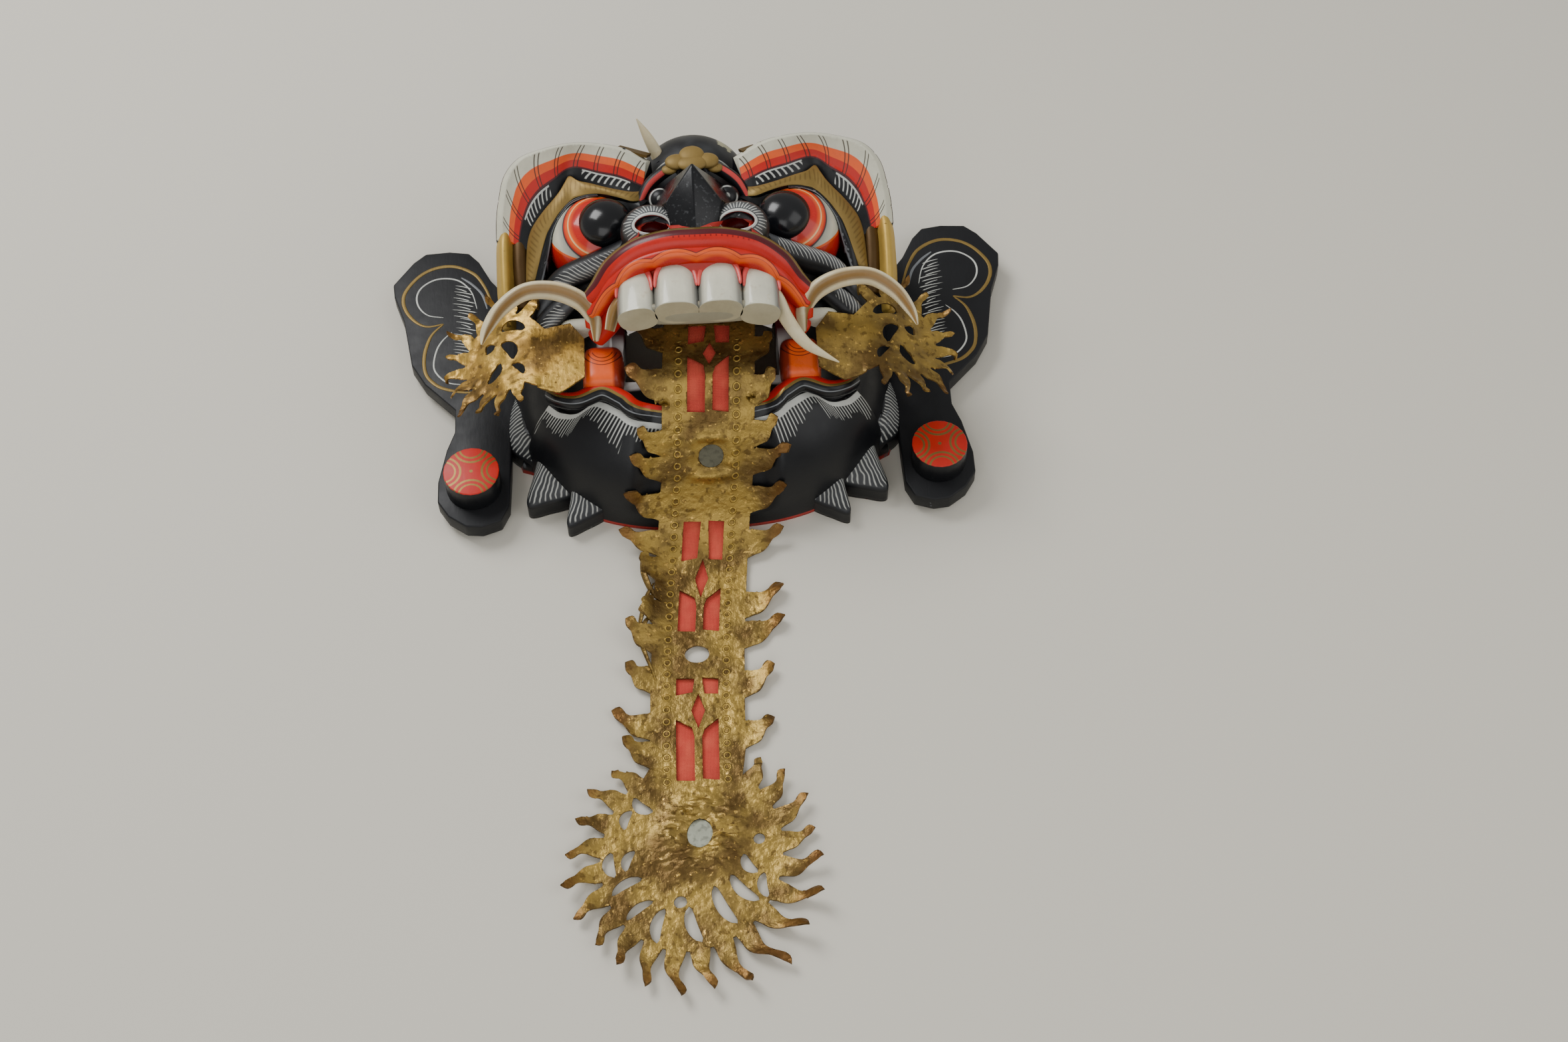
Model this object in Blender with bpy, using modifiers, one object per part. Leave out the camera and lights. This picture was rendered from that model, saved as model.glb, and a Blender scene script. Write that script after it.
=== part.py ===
"""Rangda mask: a carved demon face with ears, tusks and a long pierced leather tongue, lying on its back.

X runs across the face, +Y to the forehead and -Y to the tongue's tip, +Z out of the face. The back rim and
the tongue lie on the plane Z = 0. The carving is laid out in carver's millimetres, as shares of the face's
width, and the boards, tusks and leather that are fixed to it have sizes of their own.
"""
import math

import bmesh
import bpy
from mathutils import Matrix, Vector

# Driving sizes, in metres
FACE_WIDTH = 0.250
WALL = 0.013
GAP = 0.0003

EAR_THICKNESS = 0.012
EAR_LIFT = 0.005
EAR_SEAT_DEPTH = 0.007
EAR_GROOVE = 0.0022
EAR_STAGGER = 0.002
PLUG_DIAMETER = 0.035
PLUG_HEIGHT = 0.018

LONG_TUSK_THICKNESS = 0.0105
SHORT_TUSK_THICKNESS = 0.0085
HORN_THICKNESS = 0.008

LEATHER = 0.0022
CLOTH_DROP = 0.0004
TONGUE_SKEW = (0.006, 0.06)
DRAPE_FACETS = 14
CLOTH = 0.0008
TONGUE_WIDTH = 0.057
TONGUE_REACH = 0.455
# The cloth reaches behind the windows, and the roundel widens the strip, each by its own share
TONGUE_CLOTH_WIDTH = TONGUE_WIDTH * 34 / 57
ROUNDEL_WIDTH = TONGUE_WIDTH * 106 / 57
MIRROR_DIAMETER = 0.0155
ROSETTE_DIAMETER = 0.052
CROWN_STRIP_WIDTH = 0.009

# The carver's unit: the face is drawn 250 units wide
UNIT = FACE_WIDTH / 250
# The origin lies under the middle of the box that holds mask and tongue
FACE_CENTRE_Y = 0.1543

VOXEL = 2.1 * UNIT
FACE_MESH_SHARE = 0.0225
# How near a fold a point counts as lying on it
ON_FOLD = 2e-6
SIDES = (("left", -1), ("right", 1))

EYE = (62, 41, 88)
EYE_RADIUS = 31
PUPIL = (56, 34, 112)
EAR_OUTLINE = (
    (132, 65), (138, 73), (146, 89), (153, 97), (166, 99), (182, 98), (190, 91), (203, 73), (202, 63),
    (195, 42), (189, 6), (180, -10), (160, -31), (160, -48), (165, -62), (170, -86), (170, -101),
    (163, -112), (152, -120), (142, -121), (130, -117), (125, -106), (124, -80), (124, -44),
)
EAR_LINE = (
    (136, 56), (143, 70), (158, 82), (178, 80), (193, 62), (186, 44), (170, 37), (182, 22), (182, 6),
    (176, -8), (160, -18),
)
PLUG_CENTRE = (147, -91)
LONG_TUSK_PATH = ((64, -44, 98), (64, -33, 106), (72, -24, 114), (88, -19, 119), (106, -19, 119),
                  (121, -27, 114), (130, -39, 109), (133, -49, 107))
SHORT_TUSK_PATH = ((43, -26, 125), (49, -36, 121), (54, -47, 115), (65, -59, 106), (84, -68, 98))
STUMP_PATH = ((-43, -26, 122), (-51, -35, 117), (-55, -45, 110))
HORN_PATH = ((-20, 93, 100), (-23, 98, 108), (-28, 103, 118), (-34, 108, 129))
ROSETTE_FOLD = (107, -35, 91)
TONGUE_RIDGE = ((-26, 81), (-50, 81), (-66, 79), (-80, 74), (-90, 64), (-100, 49), (-112, 30), (-124, 13.5),
                (-138, 4.8))


def carved(x, y, z, side=1):
    """A point of the carving, from carver's millimetres to metres."""
    return Vector((x * side, y, z)) * UNIT


def smooth_path(points, steps):
    """Even samples of a smooth curve through the given tuples."""
    rows = [tuple(p) for p in points]
    count = len(rows) - 1
    samples = []
    for index in range(steps + 1):
        place = index * count / steps
        at = min(int(place), count - 1)
        t = place - at
        p0, p1, p2, p3 = (rows[max(0, min(count, at + k))] for k in (-1, 0, 1, 2))
        samples.append(tuple(
            b + 0.5 * t * (c - a + t * (2 * a - 5 * b + 4 * c - d + t * (3 * b - a - 3 * c + d)))
            for a, b, c, d in zip(p0, p1, p2, p3)))
    return samples


def add_loft(bm, rings):
    """A closed solid through rings of equally many points, capped at both ends."""
    levels = [[bm.verts.new(p) for p in ring] for ring in rings]
    size = len(rings[0])
    faces = [bm.faces.new(list(reversed(levels[0]))), bm.faces.new(levels[-1])]
    for low, high in zip(levels, levels[1:]):
        for k in range(size):
            faces.append(bm.faces.new((low[k], low[(k + 1) % size], high[(k + 1) % size], high[k])))
    bmesh.ops.recalc_face_normals(bm, faces=faces)


def add_ball(bm, centre, radii, power=2.0, turn=None, segments=32, rings=16):
    """A ball pulled to three radii; a power above 2 squares its shoulders."""
    ball = bmesh.ops.create_uvsphere(bm, u_segments=segments, v_segments=rings, radius=1.0)
    for vert in ball["verts"]:
        d = vert.co.normalized()
        reach = sum(abs(c) ** power for c in d) ** (-1 / power)
        place = Vector((d.x * radii[0], d.y * radii[1], d.z * radii[2])) * reach
        if turn:
            place = turn @ place
        vert.co = (Vector(centre) + place) * UNIT


def add_sweep(bm, path, widths, heights, up, steps=20, sides=12, grow=0.0, lobes=0.0):
    """A bar of oval section along a smooth path, with its width and height changing on the way."""
    centres = smooth_path(path, steps)
    spans = smooth_path([(w, h) for w, h in zip(widths, heights)], steps)
    rings = []
    for k, centre in enumerate(centres):
        ahead = Vector(centres[min(k + 1, steps)]) - Vector(centres[max(k - 1, 0)])
        ahead.normalize()
        across = ahead.cross(Vector(up)).normalized()
        lift = across.cross(ahead)
        half_width = max(spans[k][0], 0.15) * UNIT + grow
        half_height = max(spans[k][1], 0.15) * UNIT + grow
        ring = []
        for corner in range(sides):
            angle = math.tau * corner / sides
            swell = 1 + lobes * math.cos(3 * (angle - math.pi / 2))
            ring.append(Vector(centre) * UNIT + across * half_width * swell * math.cos(angle)
                        + lift * half_height * swell * math.sin(angle))
        rings.append(ring)
    add_loft(bm, rings)


def add_slab(bm, outline, low, high):
    """A flat board with the given outline, from one height to another."""
    rings = [[Vector((x * UNIT, y * UNIT, z)) for x, y in outline] for z in (low, high)]
    add_loft(bm, rings)


def add_hull(bm, points):
    """The solid stretched over a few points."""
    verts = [bm.verts.new(p) for p in points]
    hull = bmesh.ops.convex_hull(bm, input=verts)
    loose = [v for v in hull["geom_interior"] if isinstance(v, bmesh.types.BMVert)]
    bmesh.ops.delete(bm, geom=loose, context="VERTS")


def mirrored(points, side):
    """The same points on the left or the right of the face."""
    return [(p[0] * side, *p[1:]) for p in points]


def make_material(name, colour, roughness, metallic=0.0):
    """A plain Principled material."""
    material = bpy.data.materials.new(name)
    material.use_nodes = True
    shader = material.node_tree.nodes["Principled BSDF"]
    shader.inputs["Base Color"].default_value = (*colour, 1)
    shader.inputs["Roughness"].default_value = roughness
    shader.inputs["Metallic"].default_value = metallic
    return material


def make_object(name, bm, collection, material=None, parent=None):
    """An object from a finished bmesh."""
    mesh = bpy.data.meshes.new(name)
    bm.to_mesh(mesh)
    bm.free()
    thing = bpy.data.objects.new(name, mesh)
    collection.objects.link(thing)
    thing.parent = parent
    if material:
        mesh.materials.append(material)
    else:
        thing.hide_render = True
        thing.display_type = "WIRE"
    return thing


def flat_outline_mesh(name, outlines, thickness):
    """A sheet from a closed outline and its holes, as a filled 2D curve made a mesh."""
    curve = bpy.data.curves.new(name, "CURVE")
    curve.dimensions = "2D"
    curve.fill_mode = "BOTH"
    curve.extrude = thickness / 2
    for outline in outlines:
        spline = curve.splines.new("POLY")
        spline.points.add(len(outline) - 1)
        for point, (x, y) in zip(spline.points, outline):
            point.co = (x, y, 0, 1)
        spline.use_cyclic_u = True
    holder = bpy.data.objects.new(name, curve)
    bpy.context.scene.collection.objects.link(holder)
    evaluated = holder.evaluated_get(bpy.context.evaluated_depsgraph_get())
    mesh = bpy.data.meshes.new_from_object(evaluated)
    bm = bmesh.new()
    bm.from_mesh(mesh)
    bmesh.ops.remove_doubles(bm, verts=bm.verts, dist=0.00001)
    bpy.data.objects.remove(holder)
    bpy.data.curves.remove(curve)
    bpy.data.meshes.remove(mesh)
    return bm


def finish_sheet(bm):
    """Triangulate a bent sheet and turn its faces outwards."""
    bmesh.ops.triangulate(bm, faces=bm.faces[:])
    bmesh.ops.recalc_face_normals(bm, faces=bm.faces[:])
    if bm.calc_volume(signed=True) < 0:
        bmesh.ops.reverse_faces(bm, faces=bm.faces[:])


def add_boolean(thing, cutter, operation="DIFFERENCE"):
    """Cut one object by another."""
    modifier = thing.modifiers.new(cutter.name, "BOOLEAN")
    modifier.object = cutter
    modifier.operation = operation
    modifier.solver = "EXACT"


class Drape:
    """The facets under the tongue: out of the mouth, down over the chin, along the table."""

    def __init__(self):
        table = CLOTH + CLOTH_DROP + GAP
        ridge = [(y * UNIT, max(z * UNIT, table)) for y, z in TONGUE_RIDGE]
        landing = ridge[-1][0] - 17 * UNIT
        curve = [Vector((0, y, max(z, table))) for y, z in smooth_path(ridge + [(landing, table)], 160)]
        facets = DRAPE_FACETS
        self.points = [curve[round(k * 160 / facets)] for k in range(facets + 1)]
        self.points.append(Vector((0, landing - TONGUE_REACH, table)))
        self.runs = [(b - a).normalized() for a, b in zip(self.points, self.points[1:])]
        self.lifts = [run.cross(Vector((1, 0, 0))) for run in self.runs]
        self.reach = [0.0]
        for a, b in zip(self.points, self.points[1:]):
            self.reach.append(self.reach[-1] + (b - a).length)

    def creases(self):
        """How far along the leather each crease lies."""
        return self.reach[1:-1]

    def place(self, across, along, height):
        """Where a point of the flat leather comes to lie."""
        last = len(self.runs) - 1
        at = next((k for k in range(last) if self.reach[k + 1] > along - ON_FOLD / 2), last)
        lift = self.lifts[at] * height
        if at < last and abs(along - self.reach[at + 1]) < ON_FOLD:
            shared = (self.lifts[at] + self.lifts[at + 1]).normalized()
            lift = shared * height / shared.dot(self.lifts[at])
        centre = self.points[at] + self.runs[at] * (along - self.reach[at])
        return centre + lift + Vector((TONGUE_SKEW[0] + across - TONGUE_SKEW[1] * along, 0, 0))


def bend_sheet(bm, drape, base):
    """Crease a flat sheet and lay it along the drape, with its underside at the base height."""
    for along in drape.creases():
        bmesh.ops.bisect_plane(bm, geom=bm.verts[:] + bm.edges[:] + bm.faces[:], dist=ON_FOLD,
                               plane_co=(0, along, 0), plane_no=(0, 1, 0))
    low = min(v.co.z for v in bm.verts)
    for vert in bm.verts:
        vert.co = drape.place(vert.co.x, vert.co.y, vert.co.z - low + base)
    finish_sheet(bm)


def flame(start, end, tip, belly_first):
    """The points of a leather flame between its roots, full on one side and hollow on the other."""
    start, end, tip = Vector(start), Vector(end), Vector(tip)
    reach = (tip - (start + end) / 2).length
    outward = (start - end).normalized() * reach
    first, second = (0.13, 0.16) if belly_first else (-0.16, -0.13)
    return [start, start.lerp(tip, 0.5) + outward * first, tip, end.lerp(tip, 0.55) + outward * second, end]


def circle(cx, cy, rx, ry, count, phase=0.0):
    """A ring of points."""
    angles = [phase + math.tau * k / count for k in range(count)]
    return [Vector((cx + rx * math.cos(angle), cy + ry * math.sin(angle))) for angle in angles]


def slot(cx, cy, length, width, angle):
    """A pierced crescent, pointed at both ends."""
    turn = Matrix.Rotation(math.radians(angle), 2)
    shape = ((-0.5, 0), (-0.2, -0.5), (0.2, -0.5), (0.5, 0), (0.2, 0.32), (-0.2, 0.32))
    return [Vector((cx, cy)) + turn @ Vector((x * length, y * width)) for x, y in shape]


def flat_units():
    """The tongue's drawing units in metres: along it and across it."""
    return TONGUE_REACH / 455, TONGUE_WIDTH / 57


def tongue_outline():
    """The tongue's flat outline: a strip with flames down both sides and a flaming roundel at its end."""
    half = TONGUE_WIDTH / 2
    scale, across = flat_units()
    left_tips = ((-48, 3), (-52, 33), (-45, 68), (-49, 84), (-52, 110), (-54, 135), (-40, 152), (-34, 184),
                 (-46, 203), (-45, 230), (-53, 262), (-46, 280))
    right_tips = ((40, 12), (42, 38), (44, 64), (52, 82), (51, 108), (51, 138), (53, 181), (54, 202),
                  (48, 236), (47, 270))
    root = 7.8 * scale
    radius = ROUNDEL_WIDTH / 2
    centre = Vector((-4, 355)) * scale
    neck = math.asin(min(0.95, half / radius))
    points = []
    for t, s in left_tips:
        base = (s + 9) * scale
        points += flame((-half, base - root), (-half, base + root), (t * across, s * scale), False)
    start, end = math.pi / 2 + neck, math.tau + math.pi / 2 - neck
    lengths = (16, 20, 19, 21, 24, 22, 20, 21, 24, 27, 25, 30, 34, 30, 29, 24, 20, 22, 19, 16)
    step = (end - start) / len(lengths)
    for k, length in enumerate(lengths):
        a0, a1 = start + k * step, start + (k + 0.86) * step
        reach = radius + length * scale
        tip_angle = a0 + 0.62 * step
        root_a = centre + Vector((math.cos(a0), -math.sin(a0) * 1.12)) * radius
        root_b = centre + Vector((math.cos(a1), -math.sin(a1) * 1.12)) * radius
        tip = centre + Vector((math.cos(tip_angle), -math.sin(tip_angle) * 1.1)) * reach
        points += flame(root_a, root_b, tip, True)
    for t, s in reversed(right_tips):
        base = (s + 9) * scale
        points += flame((half, base + root), (half, base - root), (t * across, s * scale), True)
    return points


def tongue_holes():
    """The windows over the red cloth, the crescents of the roundel and the seats of the mirrors."""
    scale, across = flat_units()
    holes = []
    for top, middle, low, end in ((15, 25, 36, 58), (130, 158, 180, 207), (239, 252, 270, 308)):
        for inner, outer, lag in ((-2.6, -11.5, 0), (3.4, 11.5, 1.1)):
            top_window = ((outer, top + lag), (inner, top + 0.5 - lag / 2), (inner * 1.6, middle - 3 + lag),
                          (outer, middle - 1.4))
            low_window = ((outer, low - 3), (inner * 1.6, low + 3 + lag), (inner, low + 9),
                          (inner, end - lag), (outer, end - 0.7 + lag))
            for window in (top_window, low_window):
                holes.append([Vector((x * across, s * scale)) for x, s in window])
        centre = (middle + low) / 2 + 0.5
        tall = (low - middle) / 2 + 3
        holes.append([Vector((x * across, s * scale)) for x, s in
                      ((0.4, centre - tall), (4.6, centre), (0.4, centre + tall), (-3.8, centre))])
    crescents = ((-50, 359, 16, 7, 80), (-40, 357, 14, 6, 110), (-41, 373, 20, 6, 150),
                 (-33, 388, 19, 5.5, 143), (-21, 398, 22, 8, 100), (-1, 398, 24, 8, 70),
                 (16, 387, 28, 8, 60), (27, 377, 24, 8, 45),
                 (30, 362, 15, 7, 55), (39, 376, 16, 6, 82), (-33, 322, 15, 7, 40), (-42, 331, 13, 6, 110))
    holes += [slot(t * across, s * scale, length * scale, width * scale, angle)
              for t, s, length, width, angle in crescents]
    holes.append(circle(-11 * across, 396 * scale, 4.2 * scale, 4.2 * scale, 8, 0.2))
    holes.append(circle(35 * across, 347 * scale, 3.4 * scale, 3.4 * scale, 8))
    holes.append(circle(-0.6 * across, 223 * scale, 7.5 * scale, 6 * scale, 8))
    return holes


def mirror_seats():
    """Place and radii of the two mirrors, along the flat tongue."""
    scale, across = flat_units()
    radius = MIRROR_DIAMETER / 2
    return (("upper", 2.2 * across, 86 * scale, radius, radius),
            ("lower", 0.2 * across, 342 * scale, radius, radius * 1.2))


def rosette_outline():
    """A round leather flame, with the plate that carries it from the corner of the mouth."""
    radius = ROSETTE_DIAMETER / 2
    centre = Vector((0.6 * radius, 0))
    points = []
    flames = 12
    start, end = -0.66 * math.pi, 0.72 * math.pi
    step = (end - start) / flames
    for k in range(flames):
        a0, a1, peak = start + k * step, start + (k + 0.84) * step, start + (k + 0.66) * step
        reach = radius * (1.62 if k % 2 else 1.5)
        tip = centre + Vector((math.cos(peak), math.sin(peak))) * reach
        points += flame(centre + Vector((math.cos(a0), math.sin(a0))) * radius,
                        centre + Vector((math.cos(a1), math.sin(a1))) * radius, tip, True)
    plate = ((-0.31, 0.46), (-0.85, 0.58), (-1.15, 0.15), (-1.15, -0.85), (-0.62, -1.23), (-0.27, -1.12))
    return points + [Vector(p) * radius for p in plate]


def rosette_holes():
    """The pierced eyes of a rosette, in hundredths of its width."""
    share = ROSETTE_DIAMETER / 100
    shapes = ((19, 29, 29, 13, 10), (50, 12, 13, 12, 90), (25, 2, 29, 13, 60), (42, -21, 27, 12, 125),
              (13, -25, 21, 8, 50))
    return [slot(x * share, y * share, length * share, width * share, angle)
            for x, y, length, width, angle in shapes]


def fold_rosette(bm, side):
    """Fold the flat rosette twice, from a level plate at the mouth's corner to a disc sloping over the ear."""
    slopes = (0, math.radians(16), math.radians(30))
    folds = (0.0, ROSETTE_DIAMETER * 0.27)
    for along in folds:
        bmesh.ops.bisect_plane(bm, geom=bm.verts[:] + bm.edges[:] + bm.faces[:], dist=ON_FOLD,
                               plane_co=(along, 0, 0), plane_no=(1, 0, 0))
    low = min(v.co.z for v in bm.verts)
    ends = (Vector((0, 0)), Vector((math.cos(slopes[1]), -math.sin(slopes[1]))) * folds[1])
    for vert in bm.verts:
        out, lift = vert.co.x, vert.co.z - low
        part = sum(out > fold + ON_FOLD for fold in folds)
        start = ends[max(part - 1, 0)]
        run = out - folds[max(part - 1, 0)]
        slope = slopes[part]
        lean = slope
        if part < 2 and abs(out - folds[part]) < 2 * ON_FOLD:
            lean = (slope + slopes[part + 1]) / 2
            lift = lift / math.cos(lean - slope)
        x = start.x + run * math.cos(slope) + lift * math.sin(lean)
        z = start.y - run * math.sin(slope) + lift * math.cos(lean)
        vert.co = Vector(((ROSETTE_FOLD[0] * UNIT + x) * side, ROSETTE_FOLD[1] * UNIT + vert.co.y,
                          ROSETTE_FOLD[2] * UNIT + z))
    finish_sheet(bm)


def carve_brow(bm, side):
    """The flared brow round one eye, its face leaning out from the lid to a raised rim."""
    rim = ((29, 80, 119), (44, 85, 126), (58, 87, 129), (74, 88, 130), (90, 85, 129), (104, 80, 126),
           (113, 72, 119), (118, 58, 108), (121, 42, 95), (122, 30, 86))
    foot = ((33, 56, 112), (47, 62, 113), (60, 67, 112), (77, 74, 111), (86, 66, 106), (94, 58, 101),
            (101, 50, 96), (105, 40, 90), (108, 29, 83), (109, 20, 78))
    rings = []
    for top, low in zip(smooth_path(rim, 27), smooth_path(foot, 27)):
        out = Vector((top[0] - EYE[0], top[1] - EYE[1], 0)).normalized()
        top, low = Vector(top), Vector(low)
        middle = (top + low) / 2 - out * 0.5 - Vector((0, 0, 1.5))
        back = top + out * 5 - Vector((0, 0, 4))
        heel = top + out * 9 - Vector((0, 0, top.z - 35))
        heel.x = min(heel.x, 123)
        inside = Vector((low.x, low.y, 35)) - out * 4
        ring = [inside, low - out * 2, low, middle, top, back, heel]
        rings.append([Vector((p.x * side, p.y, p.z)) * UNIT for p in ring])
    add_loft(bm, rings)


def carve_eye(bm, side):
    """Eyeball, raised pupil, the gold and the black lid, and the roll of flesh below."""
    add_ball(bm, (EYE[0] * side, EYE[1], EYE[2]), (EYE_RADIUS,) * 3, segments=40, rings=20)
    add_ball(bm, (PUPIL[0] * side, PUPIL[1], PUPIL[2] - 8), (17.5, 17.5, 16.5))
    gold = ((31, 50, 114), (46, 58, 114), (62, 64, 114), (77, 68, 113), (85, 60, 109), (93, 51, 103),
            (99, 40, 96), (103, 28, 88), (106, 16, 80))
    add_sweep(bm, mirrored(gold, side), (3, 4, 4.6, 5.4, 5, 5, 5, 4.4, 3), (5,) * 9, (0, 0.3, 1), steps=26)
    black = ((33, 45, 113), (47, 53, 114), (62, 60, 113), (76, 57, 110), (86, 50, 106), (94, 40, 99),
             (98, 29, 91), (100, 16, 83))
    add_sweep(bm, mirrored(black, side), (2.4,) * 8, (5,) * 8, (0, 0.3, 1), steps=26)
    roll = ((38, 17, 118), (49, 12, 111), (66, 10, 103), (82, 7, 97), (91, 2, 90), (99, -8, 82),
            (104, -20, 72))
    add_sweep(bm, mirrored(roll, side), (5, 8, 8.5, 8, 7, 6, 4), (7, 8, 8, 7, 7, 6, 4), (0, -0.3, 1),
              steps=24)


def carve_nose(bm):
    """The sharp-ridged nose with flared nostrils, the trefoil and the two knobs between the brows."""
    ridge = ((0, 36, 167), (0, 64, 128), (0, -3, 151), (17, 18, 153), (-17, 18, 153), (26, 34, 124),
             (-26, 34, 124), (22, 62, 112), (-22, 62, 112), (13, -4, 140), (-13, -4, 140), (0, 20, 100))
    add_hull(bm, [carved(*p) for p in ridge])
    for _, side in SIDES:
        add_ball(bm, (27 * side, 13, 133), (19, 17, 19))
        add_ball(bm, (21 * side, 50, 117), (8, 8, 8), segments=16, rings=8)
        add_ball(bm, (10 * side, 70, 124), (7, 5.5, 5), segments=16, rings=8)
    add_ball(bm, (0, 77, 127), (7, 7, 5), segments=16, rings=8)
    add_ball(bm, (0, 89, 75), (38, 36, 41))


def carve_upper_jaw(bm):
    """The muzzle, the arched lip roll and four fluted teeth."""
    add_ball(bm, (0, 2, 108), (54, 46, 39))
    rim = ((-68, -24, 112), (-60, -20, 119), (-50, -14, 131), (-36, -9, 140), (-18, -7, 145), (0, -7, 146),
           (18, -7, 145), (36, -9, 140), (50, -14, 131), (60, -20, 119), (68, -24, 112))
    add_sweep(bm, rim, (5, 8, 10, 11, 11, 11, 11, 11, 10, 8, 5), (6, 7, 8, 8, 8, 8, 8, 8, 8, 7, 6),
              (0, -0.25, 1), steps=40)
    for _, side in SIDES:
        add_ball(bm, (13.2 * side, -46, 121), (12.8, 27, 17), power=2.6)
        turn = Matrix.Rotation(math.radians(16 * side), 3, "Y")
        add_ball(bm, (36.5 * side, -47, 115), (10.6, 25, 15), power=2.6, turn=turn)


def carve_lower_jaw(bm):
    """Inner gum blocks, the waved lower lip and the flame-edged jaw."""
    lip = ((-96, -60, 66), (-88, -68, 72), (-77, -71, 75), (-62, -66, 76), (-50, -72, 75), (-38, -80, 73),
           (0, -86, 70), (38, -80, 73), (50, -72, 75), (62, -66, 76), (77, -71, 75), (88, -68, 72),
           (96, -60, 66))
    add_sweep(bm, lip, (4, 5, 6, 7, 7, 7, 7, 7, 7, 7, 6, 5, 4), (6,) * 13, (0, 0, 1), steps=44)
    fringe = ((112, -14), (121, -30), (123, -58), (118, -73), (107, -78), (113, -104), (101, -106),
              (84, -100), (88, -119), (77, -118), (64, -104), (56, -96), (70, -60))
    for _, side in SIDES:
        add_ball(bm, (61 * side, -51, 60), (13, 16, 26), power=4)
        add_slab(bm, [(x * side, y) for x, y in fringe], -4 * UNIT, 14 * UNIT)


def carve_temple(bm, side):
    """The gilded column at the temple, with the hollow beside it."""
    add_sweep(bm, mirrored(((119, 66, 78), (120, 50, 84), (121, 30, 84), (121, 4, 76), (120, -10, 68)), side),
              (4, 6, 6, 6, 4), (7, 8, 8, 8, 6), (0, 0, 1), steps=12)
    add_sweep(bm, mirrored(((108, 58, 74), (109, 40, 76), (110, 20, 74), (110, 6, 70)), side), (6,) * 4,
              (8,) * 4, (0, 0, 1), steps=10)


def make_face(collection, cutters, material, root):
    """The wooden face: its forms fused, hollowed from behind and opened at mouth and nostrils."""
    bm = bmesh.new()
    add_ball(bm, (0, -2, 0), (125, 120, 84), power=2.6, segments=64, rings=32)
    add_ball(bm, (0, 15, 62), (106, 78, 44), segments=48, rings=24)
    for _, side in SIDES:
        carve_brow(bm, side)
        carve_eye(bm, side)
        carve_temple(bm, side)
    carve_nose(bm)
    carve_upper_jaw(bm)
    carve_lower_jaw(bm)
    face = make_object("mask", bm, collection, material, root)
    fuse = face.modifiers.new("fuse", "REMESH")
    fuse.mode = "VOXEL"
    fuse.voxel_size = VOXEL
    thin = face.modifiers.new("facets", "DECIMATE")
    thin.ratio = FACE_MESH_SHARE

    bm = bmesh.new()
    add_slab(bm, ((-260, -260), (260, -260), (260, 260), (-260, 260)), 0, 300 * UNIT)
    add_boolean(face, make_object("rest_plane", bm, cutters, parent=root), "INTERSECT")

    shell = WALL / UNIT
    bm = bmesh.new()
    add_ball(bm, (0, -2, -1), (125 - shell, 120 - shell, 84 - shell), power=2.6, segments=32, rings=18)
    add_boolean(face, make_object("hollow", bm, cutters, parent=root))
    bm = bmesh.new()
    add_ball(bm, (0.4, 4, 46), (46, 54, 66), segments=20, rings=12)
    add_boolean(face, make_object("hollow_muzzle", bm, cutters, parent=root))
    bm = bmesh.new()
    add_ball(bm, (0, 40, 38), (94, 57, 62), segments=28, rings=14)
    add_boolean(face, make_object("hollow_eyes", bm, cutters, parent=root))
    arch = ((-47, 58), (-47, 105), (-32, 114), (-16, 118.5), (0, 120), (16, 118.5), (32, 114), (47, 105),
            (47, 58))
    bm = bmesh.new()
    add_loft(bm, [[carved(x, y, z) for x, z in arch] for y in (-58, -15)])
    add_boolean(face, make_object("mouth", bm, cutters, parent=root))
    bm = bmesh.new()
    add_hull(bm, [carved(x, y, z) for x in (-56, 56) for y in (-90, -49) for z in (100, 170)])
    add_boolean(face, make_object("tooth_cut", bm, cutters, parent=root))
    for label, side in SIDES:
        bm = bmesh.new()
        add_sweep(bm, mirrored(((24, 14, 128), (24, 3, 142), (24, -8, 156)), side), (9.5,) * 3, (6,) * 3,
                  (0, 1, 0), steps=2, sides=12)
        add_boolean(face, make_object("nostril_" + label, bm, cutters, parent=root))
    return face


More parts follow.
